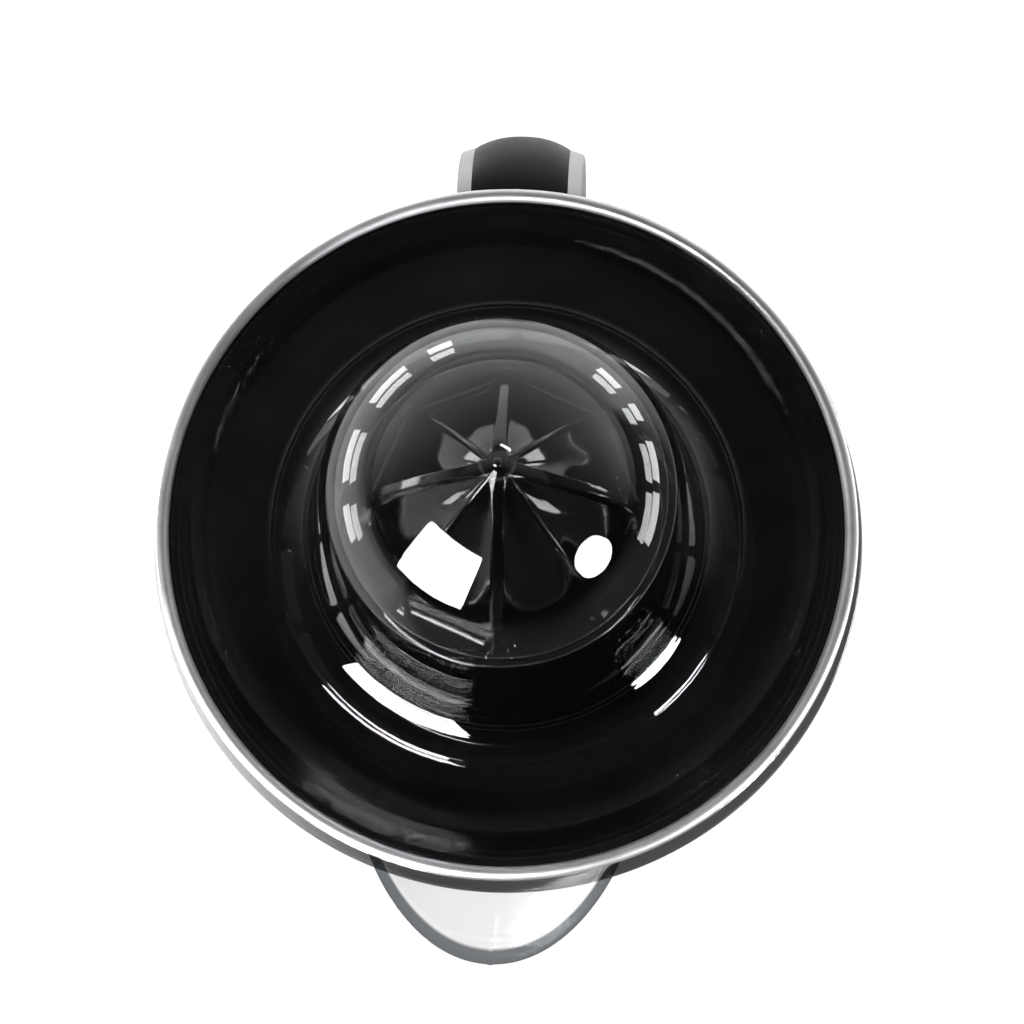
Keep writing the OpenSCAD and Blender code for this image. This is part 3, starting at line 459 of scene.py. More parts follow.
def reamerTree():
    tree, first, last = nodeTree("flutedCone", [
        ("Ridges", "NodeSocketInt", 8), ("Radius", "NodeSocketFloat", 0.036),
        ("Base Height", "NodeSocketFloat", 0.175), ("Height", "NodeSocketFloat", 0.056),
        ("Flute Depth", "NodeSocketFloat", 0.2), ("Rib Height", "NodeSocketFloat", 0.0018),
        ("Rib Half Width", "NodeSocketFloat", 0.0009), ("Foot", "NodeSocketFloat", 0.0008)])
    ins = first.outputs

    def calc(operation, *values):
        return mathNode(tree, operation, *values)

    def smooth(value, low, high, start=0.0, end=1.0):
        node = tree.nodes.new("ShaderNodeMapRange")
        node.interpolation_type = "SMOOTHSTEP"
        for label, number in (("From Min", low), ("From Max", high), ("To Min", start), ("To Max", end)):
            if hasattr(number, "links"):
                tree.links.new(number, node.inputs[label])
            else:
                node.inputs[label].default_value = number
        tree.links.new(value, node.inputs["Value"])
        return node.outputs["Result"]

    grid = tree.nodes.new("GeometryNodeMeshGrid")
    for label, number in (("Size X", 1), ("Size Y", 1), ("Vertices X", 577), ("Vertices Y", 110)):
        grid.inputs[label].default_value = number
    place = tree.nodes.new("GeometryNodeInputPosition")
    split = tree.nodes.new("ShaderNodeSeparateXYZ")
    tree.links.new(place.outputs[0], split.inputs[0])
    along = calc("MULTIPLY", calc("ADD", split.outputs["X"], 0.5), ins["Ridges"])
    rise = calc("POWER", calc("MAXIMUM", calc("ADD", split.outputs["Y"], 0.5), 0.0), 1.25)
    # columns crowd together at the ridges
    squeeze = calc("MULTIPLY", calc("SINE", calc("MULTIPLY", along, 2 * math.pi)), 0.86 / (2 * math.pi))
    along = calc("SUBTRACT", along, squeeze)
    # ridge line of the cone
    quarter = calc("COSINE", calc("MULTIPLY", rise, math.pi / 2))
    swell = calc("POWER", calc("MAXIMUM", quarter, 0.0), 0.8)
    thin = calc("SUBTRACT", 1.0, calc("MULTIPLY", rise, 0.12))
    ridge = calc("MULTIPLY", calc("MULTIPLY", swell, thin), ins["Radius"])
    # a flute hollows the cone between each two ridges
    phase = calc("FRACT", along)
    hollow = calc("POWER", calc("MAXIMUM", calc("SINE", calc("MULTIPLY", phase, math.pi)), 0.0), 0.8)
    runOut = smooth(rise, 0.0, 0.55, 0.42, 1.0)
    depth = calc("MULTIPLY", calc("MULTIPLY", hollow, runOut), ins["Flute Depth"])
    # every second ridge is a raised rib that spreads at its foot, the others are low
    toMajor = calc("PINGPONG", along, 1.0)
    turnToRib = calc("DIVIDE", 2 * math.pi, ins["Ridges"])
    core = calc("SUBTRACT", ridge, ins["Rib Height"])
    core = calc("MAXIMUM", calc("MULTIPLY", core, calc("SUBTRACT", 1.0, depth)), 0.0)
    spread = smooth(rise, 0.0, 0.16, 0.0022, 0.0)
    offMajor = calc("MULTIPLY", calc("MULTIPLY", toMajor, turnToRib), core)
    wide = calc("ADD", ins["Rib Half Width"], spread)
    wider = calc("ADD", wide, 0.0007)
    major = smooth(offMajor, wider, wide)
    minorOff = calc("MULTIPLY", calc("MULTIPLY", calc("SUBTRACT", 1.0, toMajor), turnToRib), core)
    minorWide = calc("ADD", calc("MULTIPLY", spread, 0.7), 0.0003)
    minor = smooth(minorOff, calc("ADD", minorWide, 0.0006), minorWide)
    rib = calc("MAXIMUM", major, calc("MULTIPLY", minor, 0.55))
    radius = calc("ADD", core, calc("MULTIPLY", calc("SUBTRACT", ridge, core), rib))
    radius = calc("ADD", radius, calc("MULTIPLY", smooth(rise, 0.014, 0.022, 1.0, 0.0), ins["Foot"]))
    turn = calc("MULTIPLY_ADD", along, turnToRib, -math.pi / 2)
    join = tree.nodes.new("ShaderNodeCombineXYZ")
    tree.links.new(calc("MULTIPLY", radius, calc("COSINE", turn)), join.inputs["X"])
    tree.links.new(calc("MULTIPLY", radius, calc("SINE", turn)), join.inputs["Y"])
    tree.links.new(calc("MULTIPLY_ADD", rise, ins["Height"], ins["Base Height"]), join.inputs["Z"])
    move = tree.nodes.new("GeometryNodeSetPosition")
    tree.links.new(grid.outputs["Mesh"], move.inputs["Geometry"])
    tree.links.new(join.outputs[0], move.inputs["Position"])
    weld = tree.nodes.new("GeometryNodeMergeByDistance")
    weld.inputs["Distance"].default_value = 2e-6
    tree.links.new(move.outputs[0], weld.inputs["Geometry"])
    endTree(tree, weld.outputs[0], blackReamer, last)
    return tree


def makeReamer():
    c = reamerShape
    skirtTop = reamerLow.z + c["skirtHeight"]
    cone = bakeNodes("reamerCone", reamerTree(), {
        "Ridges": c["ridges"], "Radius": c["radius"], "Base Height": skirtTop,
        "Height": reamerHigh.z - skirtTop, "Flute Depth": c["flute"], "Rib Height": c["ribHeight"],
        "Rib Half Width": c["ribHalf"], "Foot": c["foot"]})
    # the skirt: a flat ring from the flutes' feet, its rounded edge and the hollow underside
    ring = sorted((v for v in cone.verts if abs(v.co.z - skirtTop) < 1e-6),
                  key=lambda v: math.atan2(v.co.y, v.co.x))
    count = len(ring)
    angles = [math.atan2(v.co.y, v.co.x) for v in ring]
    low = reamerLow.z
    path = roundedPath([
        (c["skirtRadius"] - 1.2 * mm, skirtTop - 0.2 * mm, 0),
        (c["skirtRadius"], skirtTop - 0.9 * mm, 0.8 * mm),
        (c["skirtRadius"], low, 0.6 * mm), (c["skirtRadius"] - 2.4 * mm, low, 0.6 * mm),
        (c["skirtRadius"] - 3.2 * mm, low + 3 * mm, 1 * mm), (26 * mm, low + 6 * mm, 4 * mm),
        (18 * mm, low + 26 * mm, 5 * mm), (c["boss"] + 0.5 * mm, low + 34 * mm, 3 * mm),
        (c["boss"], low + 5 * mm, 0.4 * mm), (5.1 * mm, low + 5 * mm, 0.3 * mm),
        (4.95 * mm, low + 24 * mm, 0), (0.0, low + 24 * mm, 0)], closed=False)
    previous = ring
    for p in path:
        current = [cone.verts.new((p.x * math.cos(a), p.x * math.sin(a), p.y)) for a in angles]
        for j in range(count):
            k = (j + 1) % count
            cone.faces.new((previous[j], previous[k], current[k], current[j]))
        previous = current
    return finishMesh("reamerCone", cone, blackReamer, 50)


reamerCone = makeReamer()
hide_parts("reamer")
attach(reamerCone, "cone")
print("reamer made")


bowlShape = {
    "rim": 84.5 * mm, "ledge": 2.5 * mm, "slotRing": 57.0 * mm, "floorHalf": 6.0 * mm,
    "hubTop": 36.0 * mm, "hubDrop": 9.0 * mm, "wall": 2.4 * mm, "slots": 16, "slotArc": 17.0,
    "slotWidth": 3.0 * mm, "skirt": 7.0 * mm, "tube": 9.0 * mm, "tubeIn": 6.5 * mm,
}


def slotCutter():
    # one round-ended curved slot, standing upright through the floor
    c = bowlShape
    half = math.radians(c["slotArc"]) / 2
    radius = c["slotRing"]
    r = c["slotWidth"] / 2
    outline = []
    for k in range(13):
        a = -half + 2 * half * k / 12
        outline.append(((radius + r) * math.cos(a), (radius + r) * math.sin(a)))
    for k in range(1, 8):
        t = math.pi * k / 8
        out = radius + r * math.cos(t)
        outline.append((out * math.cos(half) - r * math.sin(t) * math.sin(half),
                        out * math.sin(half) + r * math.sin(t) * math.cos(half)))
    for k in range(13):
        a = half - 2 * half * k / 12
        outline.append(((radius - r) * math.cos(a), (radius - r) * math.sin(a)))
    for k in range(1, 8):
        t = math.pi - math.pi * k / 8
        out = radius + r * math.cos(t)
        outline.append((out * math.cos(half) + r * math.sin(t) * math.sin(half),
                        -out * math.sin(half) - r * math.sin(t) * math.cos(half)))
    bm = bmesh.new()
    low, high = bowlLow.z - 6 * mm, bowlLow.z + 9 * mm
    bottom = [bm.verts.new((x, y, low)) for x, y in outline]
    top = [bm.verts.new((x, y, high)) for x, y in outline]
    bm.faces.new(bottom)
    bm.faces.new(top)
    for j in range(len(outline)):
        k = (j + 1) % len(outline)
        bm.faces.new((bottom[j], bottom[k], top[k], top[j]))
    bmesh.ops.recalc_face_normals(bm, faces=bm.faces)
    mesh = bpy.data.meshes.new("slotCutter")
    bm.to_mesh(mesh)
    bm.free()
    cutter = bpy.data.objects.new("slotCutter", mesh)
    bpy.context.collection.objects.link(cutter)
    return cutter


def slottedTree(material):
    # cuts a ring of slots through the body that comes in
    tree, first, last = nodeTree("slottedFloor", [
        ("Cutter", "NodeSocketObject", None), ("Slots", "NodeSocketInt", 16)])
    ins = first.outputs
    info = tree.nodes.new("GeometryNodeObjectInfo")
    tree.links.new(ins["Cutter"], info.inputs["Object"])
    points = tree.nodes.new("GeometryNodeMeshLine")
    points.inputs["Offset"].default_value = (0, 0, 0)
    tree.links.new(ins["Slots"], points.inputs["Count"])
    index = tree.nodes.new("GeometryNodeInputIndex")
    step = mathNode(tree, "DIVIDE", 2 * math.pi, ins["Slots"])
    turn = tree.nodes.new("ShaderNodeCombineXYZ")
    number = mathNode(tree, "ADD", index.outputs[0], 0.5)
    tree.links.new(mathNode(tree, "MULTIPLY", number, step), turn.inputs["Z"])
    place = tree.nodes.new("GeometryNodeInstanceOnPoints")
    tree.links.new(points.outputs["Mesh"], place.inputs["Points"])
    tree.links.new(info.outputs["Geometry"], place.inputs["Instance"])
    tree.links.new(turn.outputs[0], place.inputs["Rotation"])
    real = tree.nodes.new("GeometryNodeRealizeInstances")
    tree.links.new(place.outputs[0], real.inputs[0])
    cut = tree.nodes.new("GeometryNodeMeshBoolean")
    cut.operation = "DIFFERENCE"
    cut.solver = "EXACT"
    tree.links.new(ins["Geometry"], cut.inputs["Mesh 1"])
    tree.links.new(real.outputs[0], cut.inputs["Mesh 2"])
    endTree(tree, cut.outputs["Mesh"], material, last)
    return tree


def makeBowl():
    c = bowlShape
    floorTop = bowlLow.z + c["wall"]
    ledgeZ = bandHigh.z - 1.7 * mm
    plateZ = rimZ + c["hubDrop"]
    floorOut = c["slotRing"] + c["floorHalf"]
    floorIn = c["slotRing"] - c["floorHalf"]
    under = c["wall"] * 1.25
    skirtLow = jugHigh.z - c["skirt"]
    collarLow = bandLow.z
    bandOut = bandHigh.x
    path = roundedPath([
        (c["rim"], bandHigh.z, 0.3 * mm), (c["rim"], ledgeZ, 0.4 * mm),
        (c["rim"] - c["ledge"], ledgeZ, 0.8 * mm),
        (floorOut + 2 * mm, floorTop + 1.6 * mm, 5 * mm), (floorOut, floorTop, 3 * mm),
        (floorIn, floorTop, 3 * mm), (floorIn - 2 * mm, floorTop + 1.6 * mm, 3 * mm),
        (c["hubTop"], plateZ, 2 * mm), (c["tube"], plateZ, 1 * mm), (c["tube"], plateZ + 7 * mm, 0.6 * mm),
        (c["tubeIn"], plateZ + 7 * mm, 0.6 * mm), (c["tubeIn"], plateZ - c["wall"], 0.4 * mm),
        (c["hubTop"] - under, plateZ - c["wall"], 1.5 * mm),
        (floorIn - 2 * mm - under, floorTop, 2 * mm), (floorIn, bowlLow.z, 2 * mm),
        (floorOut, bowlLow.z, 2 * mm), (floorOut + 2 * mm + under, floorTop, 3 * mm),
        (81.4 * mm, ledgeZ - 8 * mm, 1 * mm), (81.0 * mm, skirtLow, 0.4 * mm),
        (82.6 * mm, skirtLow, 0.4 * mm), (83.3 * mm, collarLow, 0.3 * mm),
        (bandOut - 1.0 * mm, collarLow, 0.3 * mm),
        (bandOut - 2.35 * mm, bandHigh.z, 0.3 * mm)])
    body = lathe("bowlBody", path, blackGloss, 192)
    mesh = body.data
    bpy.data.objects.remove(body)
    cutter = slotCutter()
    values = {"Cutter": cutter, "Slots": c["slots"]}
    cutMesh = bakeNodes("strainerBowl", slottedTree(blackGloss), values, mesh)
    bpy.data.objects.remove(cutter)
    return finishMesh("strainerBowl", cutMesh, blackGloss, 40)


strainerBowl = makeBowl()
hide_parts("strainer_bowl")
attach(strainerBowl, "bowl")

bandShape = {"thickness": 0.8 * mm, "flare": 1.5 * mm}


def makeBand():
    c = bandShape
    wide, top = bandHigh.x, bandHigh.x - c["flare"]
    path = roundedPath([
        (wide - c["thickness"], bandLow.z, 0.2 * mm), (wide, bandLow.z, 0.35 * mm),
        (wide - 0.02 * mm, bandLow.z + 1.2 * mm, 0.6 * mm),
        (wide - 0.35 * mm, bandLow.z + 1.6 * mm, 0.6 * mm),
        (top, bandHigh.z, 0.35 * mm), (top - c["thickness"], bandHigh.z, 0.2 * mm)])
    return lathe("steelBandRing", path, steelBand, 256, 50)


steelBandRing = makeBand()
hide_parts("steel_band")
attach(steelBandRing, "bowl")


def makeBead():
    radius = (beadHigh.x - bowlShape["rim"]) / 2
    middle = bowlShape["rim"] + radius
    path = arcPath(middle, rimZ - radius, radius, -17, 197, 36)
    return lathe("rimBeadRing", path, chromeBead, 256, 60)


rimBeadRing = makeBead()
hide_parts("rim_bead")
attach(rimBeadRing, "bowl")
print("bowl, band and bead made")


jugShape = {
    "rim": 86.5 * mm, "foot": 70.0 * mm, "wall": 2.5 * mm, "bow": 3.0 * mm, "lip": 38.0 * mm,
    "lipReach": 109.3 * mm, "lipLean": 52.0, "floor": 5.2 * mm, "blend": 5.0 * mm,
    "chimney": 15.0 * mm, "chimneyIn": 12.8 * mm, "chimneyDrop": 1.4 * mm, "recess": 2.7 * mm,
    "columns": 288, "seam": 0.22 * mm,
}


def jugRadius(z, inset):
    c = jugShape
    t = (z - jugLow.z) / (jugHigh.z - jugLow.z)
    return c["foot"] + (c["rim"] - c["foot"]) * t + c["bow"] * math.sin(math.pi * t) - inset


def lipRadius(theta, z, inset):
    # where a level line from the axis leaves the leaning cylinder of the pouring lip
    c = jugShape
    lean = math.radians(c["lipLean"])
    radius = c["lip"] - inset
    k = c["lipReach"] * math.cos(lean) + (z - jugHigh.z) * math.sin(lean) - c["lip"]
    a = math.sin(theta) ** 2 + (math.cos(lean) * math.cos(theta)) ** 2
    b = -2 * k * math.cos(lean) * math.cos(theta)
    d = b * b - 4 * a * (k * k - radius * radius)
    if d < 0 or math.cos(theta) <= 0:
        return 0.0
    return (-b + math.sqrt(d)) / (2 * a)


def jugPoint(theta, z, inset):
    c = jugShape
    wallR = jugRadius(z, inset)
    lipR = lipRadius(theta, z, inset)
    if lipR > wallR:
        # the moulding's parting line down the lip's middle
        lipR += c["seam"] * math.exp(-(theta * lipR / (0.5 * mm)) ** 2)
    h = max(0.0, 1 - abs(wallR - lipR) / c["blend"])
    r = max(wallR, lipR) + h * h * c["blend"] * 0.25 * min(1.0, (jugHigh.z - z) / (4 * mm))
    return Vector((r * math.sin(theta), -r * math.cos(theta), z))


def makeJug():
    c = jugShape
    # columns crowd together over the pouring lip
    columns = []
    for k in range(c["columns"]):
        u = -1 + 2 * k / c["columns"]
        columns.append(math.pi * (0.42 * u + 0.58 * u ** 3))
    low, high = jugLow.z, jugHigh.z
    floorZ = low + c["floor"]
    bm = bmesh.new()
    outside = [low + 0.5 * mm + (high - 0.6 * mm - low - 0.5 * mm) * (k / 64) for k in range(65)]
    inside = [floorZ + 6 * mm + (high - 0.6 * mm - floorZ - 6 * mm) * (k / 60) for k in range(61)]
    rows = []
    # from the bore's foot over the underside and the foot ring to the outer wall
    recess = low + c["recess"]
    for r, z in ((c["chimneyIn"], recess), (30 * mm, recess), (65.5 * mm, recess),
                 (66.4 * mm, low + 2.4 * mm), (66.8 * mm, low + 1.6 * mm), (66.8 * mm, low + 0.4 * mm),
                 (67.2 * mm, low), (69.4 * mm, low)):
        rows.append([Vector((r * math.sin(a), -r * math.cos(a), z)) for a in columns])
    for z in outside:
        rows.append([jugPoint(a, z, 0) for a in columns])
    for inset, drop in ((0.25, 0.15), (0.6, 0.0), (1.9, 0.0), (2.25, 0.15)):
        rows.append([jugPoint(a, high - drop * mm, inset * mm) for a in columns])
    for z in reversed(inside):
        rows.append([jugPoint(a, z, c["wall"]) for a in columns])
    corner = jugRadius(floorZ + 6 * mm, c["wall"])
    for k in range(1, 9):
        a = math.pi / 2 * k / 8
        r = corner - 6 * mm * (1 - math.cos(a))
        z = floorZ + 6 * mm * (1 - math.sin(a))
        rows.append([Vector((r * math.sin(t), -r * math.cos(t), z)) for t in columns])
    for r in (40 * mm, c["chimney"] + 3 * mm):
        rows.append([Vector((r * math.sin(t), -r * math.cos(t), floorZ)) for t in columns])
    # up the chimney, over its rim and down through the bore
    top = rimZ - c["chimneyDrop"]
    for r, z in ((c["chimney"] + 0.8 * mm, floorZ + 0.7 * mm), (c["chimney"], floorZ + 3 * mm),
                 (c["chimney"], top - 0.6 * mm), (c["chimney"] - 0.5 * mm, top),
                 (c["chimneyIn"] + 0.5 * mm, top), (c["chimneyIn"], top - 0.6 * mm),
                 (c["chimneyIn"], recess)):
        rows.append([Vector((r * math.sin(t), -r * math.cos(t), z)) for t in columns])
    edge = bm.verts.layers.float.new("edge")
    verts = addGrid(bm, rows, closeColumns=False)
    rimRow = 8 + len(outside)
    for row in range(rimRow - 1, rimRow + 5):
        for vert in verts[row]:
            vert[edge] = 0.95 if rimRow <= row < rimRow + 4 else 0.0
    return finishMesh("clearJugBody", bm, clearJug, 45)


clearJugBody = makeJug()
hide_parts("jug_vessel")
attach(clearJugBody, "jug")
print("jug made")


handleShape = {
    "gap": 24.6 * mm, "cheek": 3.7 * mm, "depth": 11 * mm, "proud": 3.52 * mm, "fall": 0.35, "crown": 2.3,
    "reach": 104 * mm, "topDrop": 10 * mm, "lowRise": 13 * mm, "steps": 64,
}


def handleCurve(t):
    c = handleShape
    topZ = jugHigh.z - c["topDrop"]
    lowZ = jugLow.z + c["lowRise"]
    points = [Vector((jugShape["rim"] - 3 * mm, topZ)), Vector((c["reach"] + 1 * mm, topZ + 6.5 * mm)),
              Vector((c["reach"] + 16.5 * mm, lowZ - 10.7 * mm)), Vector((jugShape["foot"] + 3 * mm, lowZ))]
    u = 1 - t
    here = points[0] * u ** 3 + points[1] * 3 * u * u * t + points[2] * 3 * u * t * t + points[3] * t ** 3
    along = ((points[1] - points[0]) * u * u + (points[2] - points[1]) * 2 * u * t
             + (points[3] - points[2]) * t * t).normalized()
    return here, Vector((-along.y, along.x))


def handleSection(name, material, outline, start, end, steps):
    # outline gives (x, outward) points for a place t along the curve
    bm = bmesh.new()
    rows = []
    for k in range(steps + 1):
        t = start + (end - start) * k / steps
        here, normal = handleCurve(t)
        rows.append([Vector((x, here.x + normal.x * n, here.y + normal.y * n)) for x, n in outline(t)])
    verts = addGrid(bm, rows, closeColumns=False)
    bm.faces.new(verts[0])
    bm.faces.new(verts[-1])
    return finishMesh(name, bm, material, 40)


def crown(x, proud):
    # the outer face of grip and cheeks together: one shallow arc across the handle
    c = handleShape
    edge = c["gap"] / 2
    if abs(x) > edge:
        return c["depth"] / 2 - c["fall"] * (abs(x) - edge)
    return c["depth"] / 2 + proud * (1 - (abs(x) / edge) ** c["crown"])


def curveStart(offset, fromTop):
    # the place along the curve where a line at this offset leaves the jug
    for k in range(400):
        t = k / 1000 if fromTop else 1 - k / 1000
        here, normal = handleCurve(t)
        y, z = here.x + normal.x * offset, here.y + normal.y * offset
        if y > jugRadius(min(max(z, jugLow.z), jugHigh.z), 0) + 0.15 * mm:
            return t
    return 0.0


def proudAt(t):
    return handleShape["proud"] * max(0.0, math.sin(math.pi * t)) ** 0.8


def gripOutline(t):
    w, d = handleShape["gap"] / 2, handleShape["depth"] / 2
    proud = proudAt(t)
    points = [(w * s / 14, crown(w * s / 14, proud)) for s in range(-14, 15)]
    points[0] = (-w, points[0][1] - 0.12 * mm)
    points[-1] = (w, points[-1][1] - 0.12 * mm)
    points += [(w, -d + 1.2 * mm), (w - 0.5 * mm, -d + 0.35 * mm), (w - 1.5 * mm, -d), (0, -d),
               (-w + 1.5 * mm, -d), (-w + 0.5 * mm, -d + 0.35 * mm), (-w, -d + 1.2 * mm)]
    return points


def cheekOutline(side):
    c = handleShape
    inner, outer, d = c["gap"] / 2 + 0.02 * mm, c["gap"] / 2 + c["cheek"], c["depth"] / 2
    small, big = 1.1 * mm, 1.2 * mm

    def outline(t):
        proud = proudAt(t)
        corner = crown(outer - big, proud)
        points = [(side * inner, -d), (side * (outer - small), -d)]
        points += [(side * (outer - small + small * math.sin(a)), -d + small - small * math.cos(a))
                   for a in (math.pi / 8, math.pi / 4, math.pi * 3 / 8, math.pi / 2)]
        points += [(side * (outer - big + big * math.cos(a)), corner - big + big * math.sin(a))
                   for a in (0, math.pi / 8, math.pi / 4, math.pi * 3 / 8, math.pi / 2)]
        points += [(side * x, crown(x, proud))
                   for x in (outer - 2.2 * mm, outer - 3.0 * mm, inner + 0.3 * mm)]
        points += [(side * inner, crown(inner, proud) - 0.15 * mm)]
        return points

    return outline


gripStart = min(curveStart(0, True), curveStart(handleShape["depth"] / 2, True))
gripEnd = max(curveStart(0, False), curveStart(handleShape["depth"] / 2, False))
handleGrip = handleSection("handleGripPad", softGrip, gripOutline, gripStart, gripEnd, handleShape["steps"])
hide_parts("handle_grip")
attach(handleGrip, "jug")
for side, node in ((-1, "handle_cheek_left"), (1, "handle_cheek_right")):
    cheek = handleSection("handleCheek" + ("Left" if side < 0 else "Right"), silverPaint,
                          cheekOutline(side), gripStart, gripEnd, handleShape["steps"])
    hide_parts(node)
    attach(cheek, "jug")
print("handle made")


# shares of the head's radius, and of its height for the depth and the crown
screwShape = {"crossWidth": 0.3, "crossLength": 1.25, "crossDepth": 0.55, "crown": 0.22, "sides": 40}


def screwPlaces(node):
    # every loose screw of the carried node: middle of its head's face, way out, and its sizes
    bm = bmesh.new()
    bm.from_mesh(frame["nodes"][node].data)
    bmesh.ops.remove_doubles(bm, verts=bm.verts, dist=1e-6)
    bm.verts.ensure_lookup_table()
    bm.verts.index_update()
    seen, places = set(), []
    for first in bm.verts:
        if first.index in seen:
            continue
        seen.add(first.index)
        todo, island = [first], []
        while todo:
            vert = todo.pop()
            island.append(vert.co.copy())
            for edge in vert.link_edges:
                other = edge.other_vert(vert)
                if other.index not in seen:
                    seen.add(other.index)
                    todo.append(other)
        low = Vector([min(p[i] for p in island) for i in range(3)])
        high = Vector([max(p[i] for p in island) for i in range(3)])
        size, middle = high - low, (low + high) / 2
        axis = min(range(3), key=lambda i: abs(size[(i + 1) % 3] - size[(i + 2) % 3]))
        across = []
        for p in island:
            flat = p - middle
            flat[axis] = 0
            across.append((flat.length, p[axis]))
        headRadius = max(across)[0]
        shankRadius = min(r for r, z in across if r > 0.3 * mm)
        head = [z for r, z in across if r > headRadius - 0.05 * mm]
        out = 1 if max(head) > high[axis] - 0.05 * mm else -1
        face = middle.copy()
        face[axis] = max(head) if out > 0 else min(head)
        way = Vector((0, 0, 0))
        way[axis] = out
        places.append((face, way, headRadius, max(head) - min(head), shankRadius, size[axis]))
    bm.free()
    return places


def screwTree():
    # crowned heads with a cross recess, one on every point that comes in
    tree, first, last = nodeTree("crossHeadScrews", [
        ("Head Radius", "NodeSocketFloat", 0.003), ("Head Height", "NodeSocketFloat", 0.002),
        ("Shank Radius", "NodeSocketFloat", 0.0015), ("Length", "NodeSocketFloat", 0.01)])
    ins = first.outputs
    c = screwShape

    def bar(radius, height, rings):
        node = tree.nodes.new("GeometryNodeMeshCylinder")
        node.fill_type = "TRIANGLE_FAN"
        for label, number in (("Vertices", c["sides"]), ("Side Segments", 1), ("Fill Segments", rings)):
            node.inputs[label].default_value = number
        tree.links.new(radius, node.inputs["Radius"])
        tree.links.new(height, node.inputs["Depth"])
        return node.outputs["Mesh"]

    def shift(geometry, drop):
        place = tree.nodes.new("GeometryNodeTransform")
        offset = tree.nodes.new("ShaderNodeCombineXYZ")
        tree.links.new(drop, offset.inputs["Z"])
        tree.links.new(geometry, place.inputs["Geometry"])
        tree.links.new(offset.outputs[0], place.inputs["Translation"])
        return place.outputs[0]

    half = mathNode(tree, "MULTIPLY", ins["Head Height"], -0.5)
    head = shift(bar(ins["Head Radius"], ins["Head Height"], 8), half)
    # the face falls towards its edge
    spot = tree.nodes.new("GeometryNodeInputPosition")
    split = tree.nodes.new("ShaderNodeSeparateXYZ")
    tree.links.new(spot.outputs[0], split.inputs[0])
    square = mathNode(tree, "ADD", mathNode(tree, "MULTIPLY", split.outputs["X"], split.outputs["X"]),
                      mathNode(tree, "MULTIPLY", split.outputs["Y"], split.outputs["Y"]))
    share = mathNode(tree, "DIVIDE", mathNode(tree, "SQRT", square), ins["Head Radius"])
    fall = mathNode(tree, "MULTIPLY", mathNode(tree, "POWER", share, 3.0), ins["Head Height"])
    fall = mathNode(tree, "MULTIPLY", fall, -c["crown"])
    nearFace = mathNode(tree, "MULTIPLY", ins["Head Height"], -0.1)
    onFace = mathNode(tree, "GREATER_THAN", split.outputs["Z"], nearFace)
    lower = tree.nodes.new("ShaderNodeCombineXYZ")
    tree.links.new(mathNode(tree, "MULTIPLY", fall, onFace), lower.inputs["Z"])
    crowned = tree.nodes.new("GeometryNodeSetPosition")
    tree.links.new(head, crowned.inputs["Geometry"])
    tree.links.new(lower.outputs[0], crowned.inputs["Offset"])
    cut = tree.nodes.new("GeometryNodeMeshBoolean")
    cut.operation, cut.solver = "DIFFERENCE", "EXACT"
    tree.links.new(crowned.outputs[0], cut.inputs["Mesh 1"])
    for long, wide in (("X", "Y"), ("Y", "X")):
        block = tree.nodes.new("GeometryNodeMeshCube")
        join = tree.nodes.new("ShaderNodeCombineXYZ")
        tree.links.new(mathNode(tree, "MULTIPLY", ins["Head Radius"], c["crossLength"]), join.inputs[long])
        tree.links.new(mathNode(tree, "MULTIPLY", ins["Head Radius"], c["crossWidth"]), join.inputs[wide])
        deep = mathNode(tree, "MULTIPLY", ins["Head Height"], 2 * c["crossDepth"])
        tree.links.new(deep, join.inputs["Z"])
        tree.links.new(join.outputs[0], block.inputs["Size"])
        tree.links.new(block.outputs["Mesh"], cut.inputs["Mesh 2"])
    shankDepth = mathNode(tree, "SUBTRACT", ins["Length"], ins["Head Height"])
    shankPlace = mathNode(tree, "MULTIPLY", mathNode(tree, "ADD", ins["Length"], ins["Head Height"]), -0.5)
    shank = shift(bar(ins["Shank Radius"], shankDepth, 1), shankPlace)
    both = tree.nodes.new("GeometryNodeJoinGeometry")
    tree.links.new(cut.outputs["Mesh"], both.inputs[0])
    tree.links.new(shank, both.inputs[0])
    turn = tree.nodes.new("GeometryNodeInputNamedAttribute")
    turn.data_type = "FLOAT_VECTOR"
    turn.inputs["Name"].default_value = "turn"
    place = tree.nodes.new("GeometryNodeInstanceOnPoints")
    tree.links.new(ins["Geometry"], place.inputs["Points"])
    tree.links.new(both.outputs[0], place.inputs["Instance"])
    tree.links.new(turn.outputs["Attribute"], place.inputs["Rotation"])
    endTree(tree, place.outputs[0], zincScrew, last)
    return tree


def makeScrews(name, node, body):
    places = screwPlaces(node)
    seed = bpy.data.meshes.new(name + "Points")
    seed.from_pydata([place[0] for place in places], [], [])
    turns = seed.attributes.new("turn", "FLOAT_VECTOR", "POINT")
    for index, way in enumerate(place[1] for place in places):
        # no two screws stop at the same angle
        stop = Matrix.Rotation(0.7 + 1.9 * index, 4, way)
        turns.data[index].vector = (stop @ way.to_track_quat("Z", "Y").to_matrix().to_4x4()).to_euler()
    headRadius, headHeight, shankRadius, length = places[0][2:]
    bm = bakeNodes(name, screwTree(), {"Head Radius": headRadius, "Head Height": headHeight,
                                       "Shank Radius": shankRadius, "Length": length}, seed)
    piece = finishMesh(name, bm, zincScrew, 30)
    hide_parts(node)
    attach(piece, body)


for name, node, body in (
        ("bottomScrews", "bottom_screws", "base"), ("gearPlateScrews", "gear_plate_screws", "base"),
        ("motorBolts", "motor_bolts", "base"), ("handleScrews", "handle_screws", "jug")):
    makeScrews(name, node, body)
print("screws made")


# the floor's darker colour is painted shade in what it throws back; the paler one is its own white
floorShape = {"half": 6.0, "drop": -0.2 * mm, "paintedShadeFront": (0.07, 0.07, 0.07), "rear": (0.9, 0.9, 0.9)}


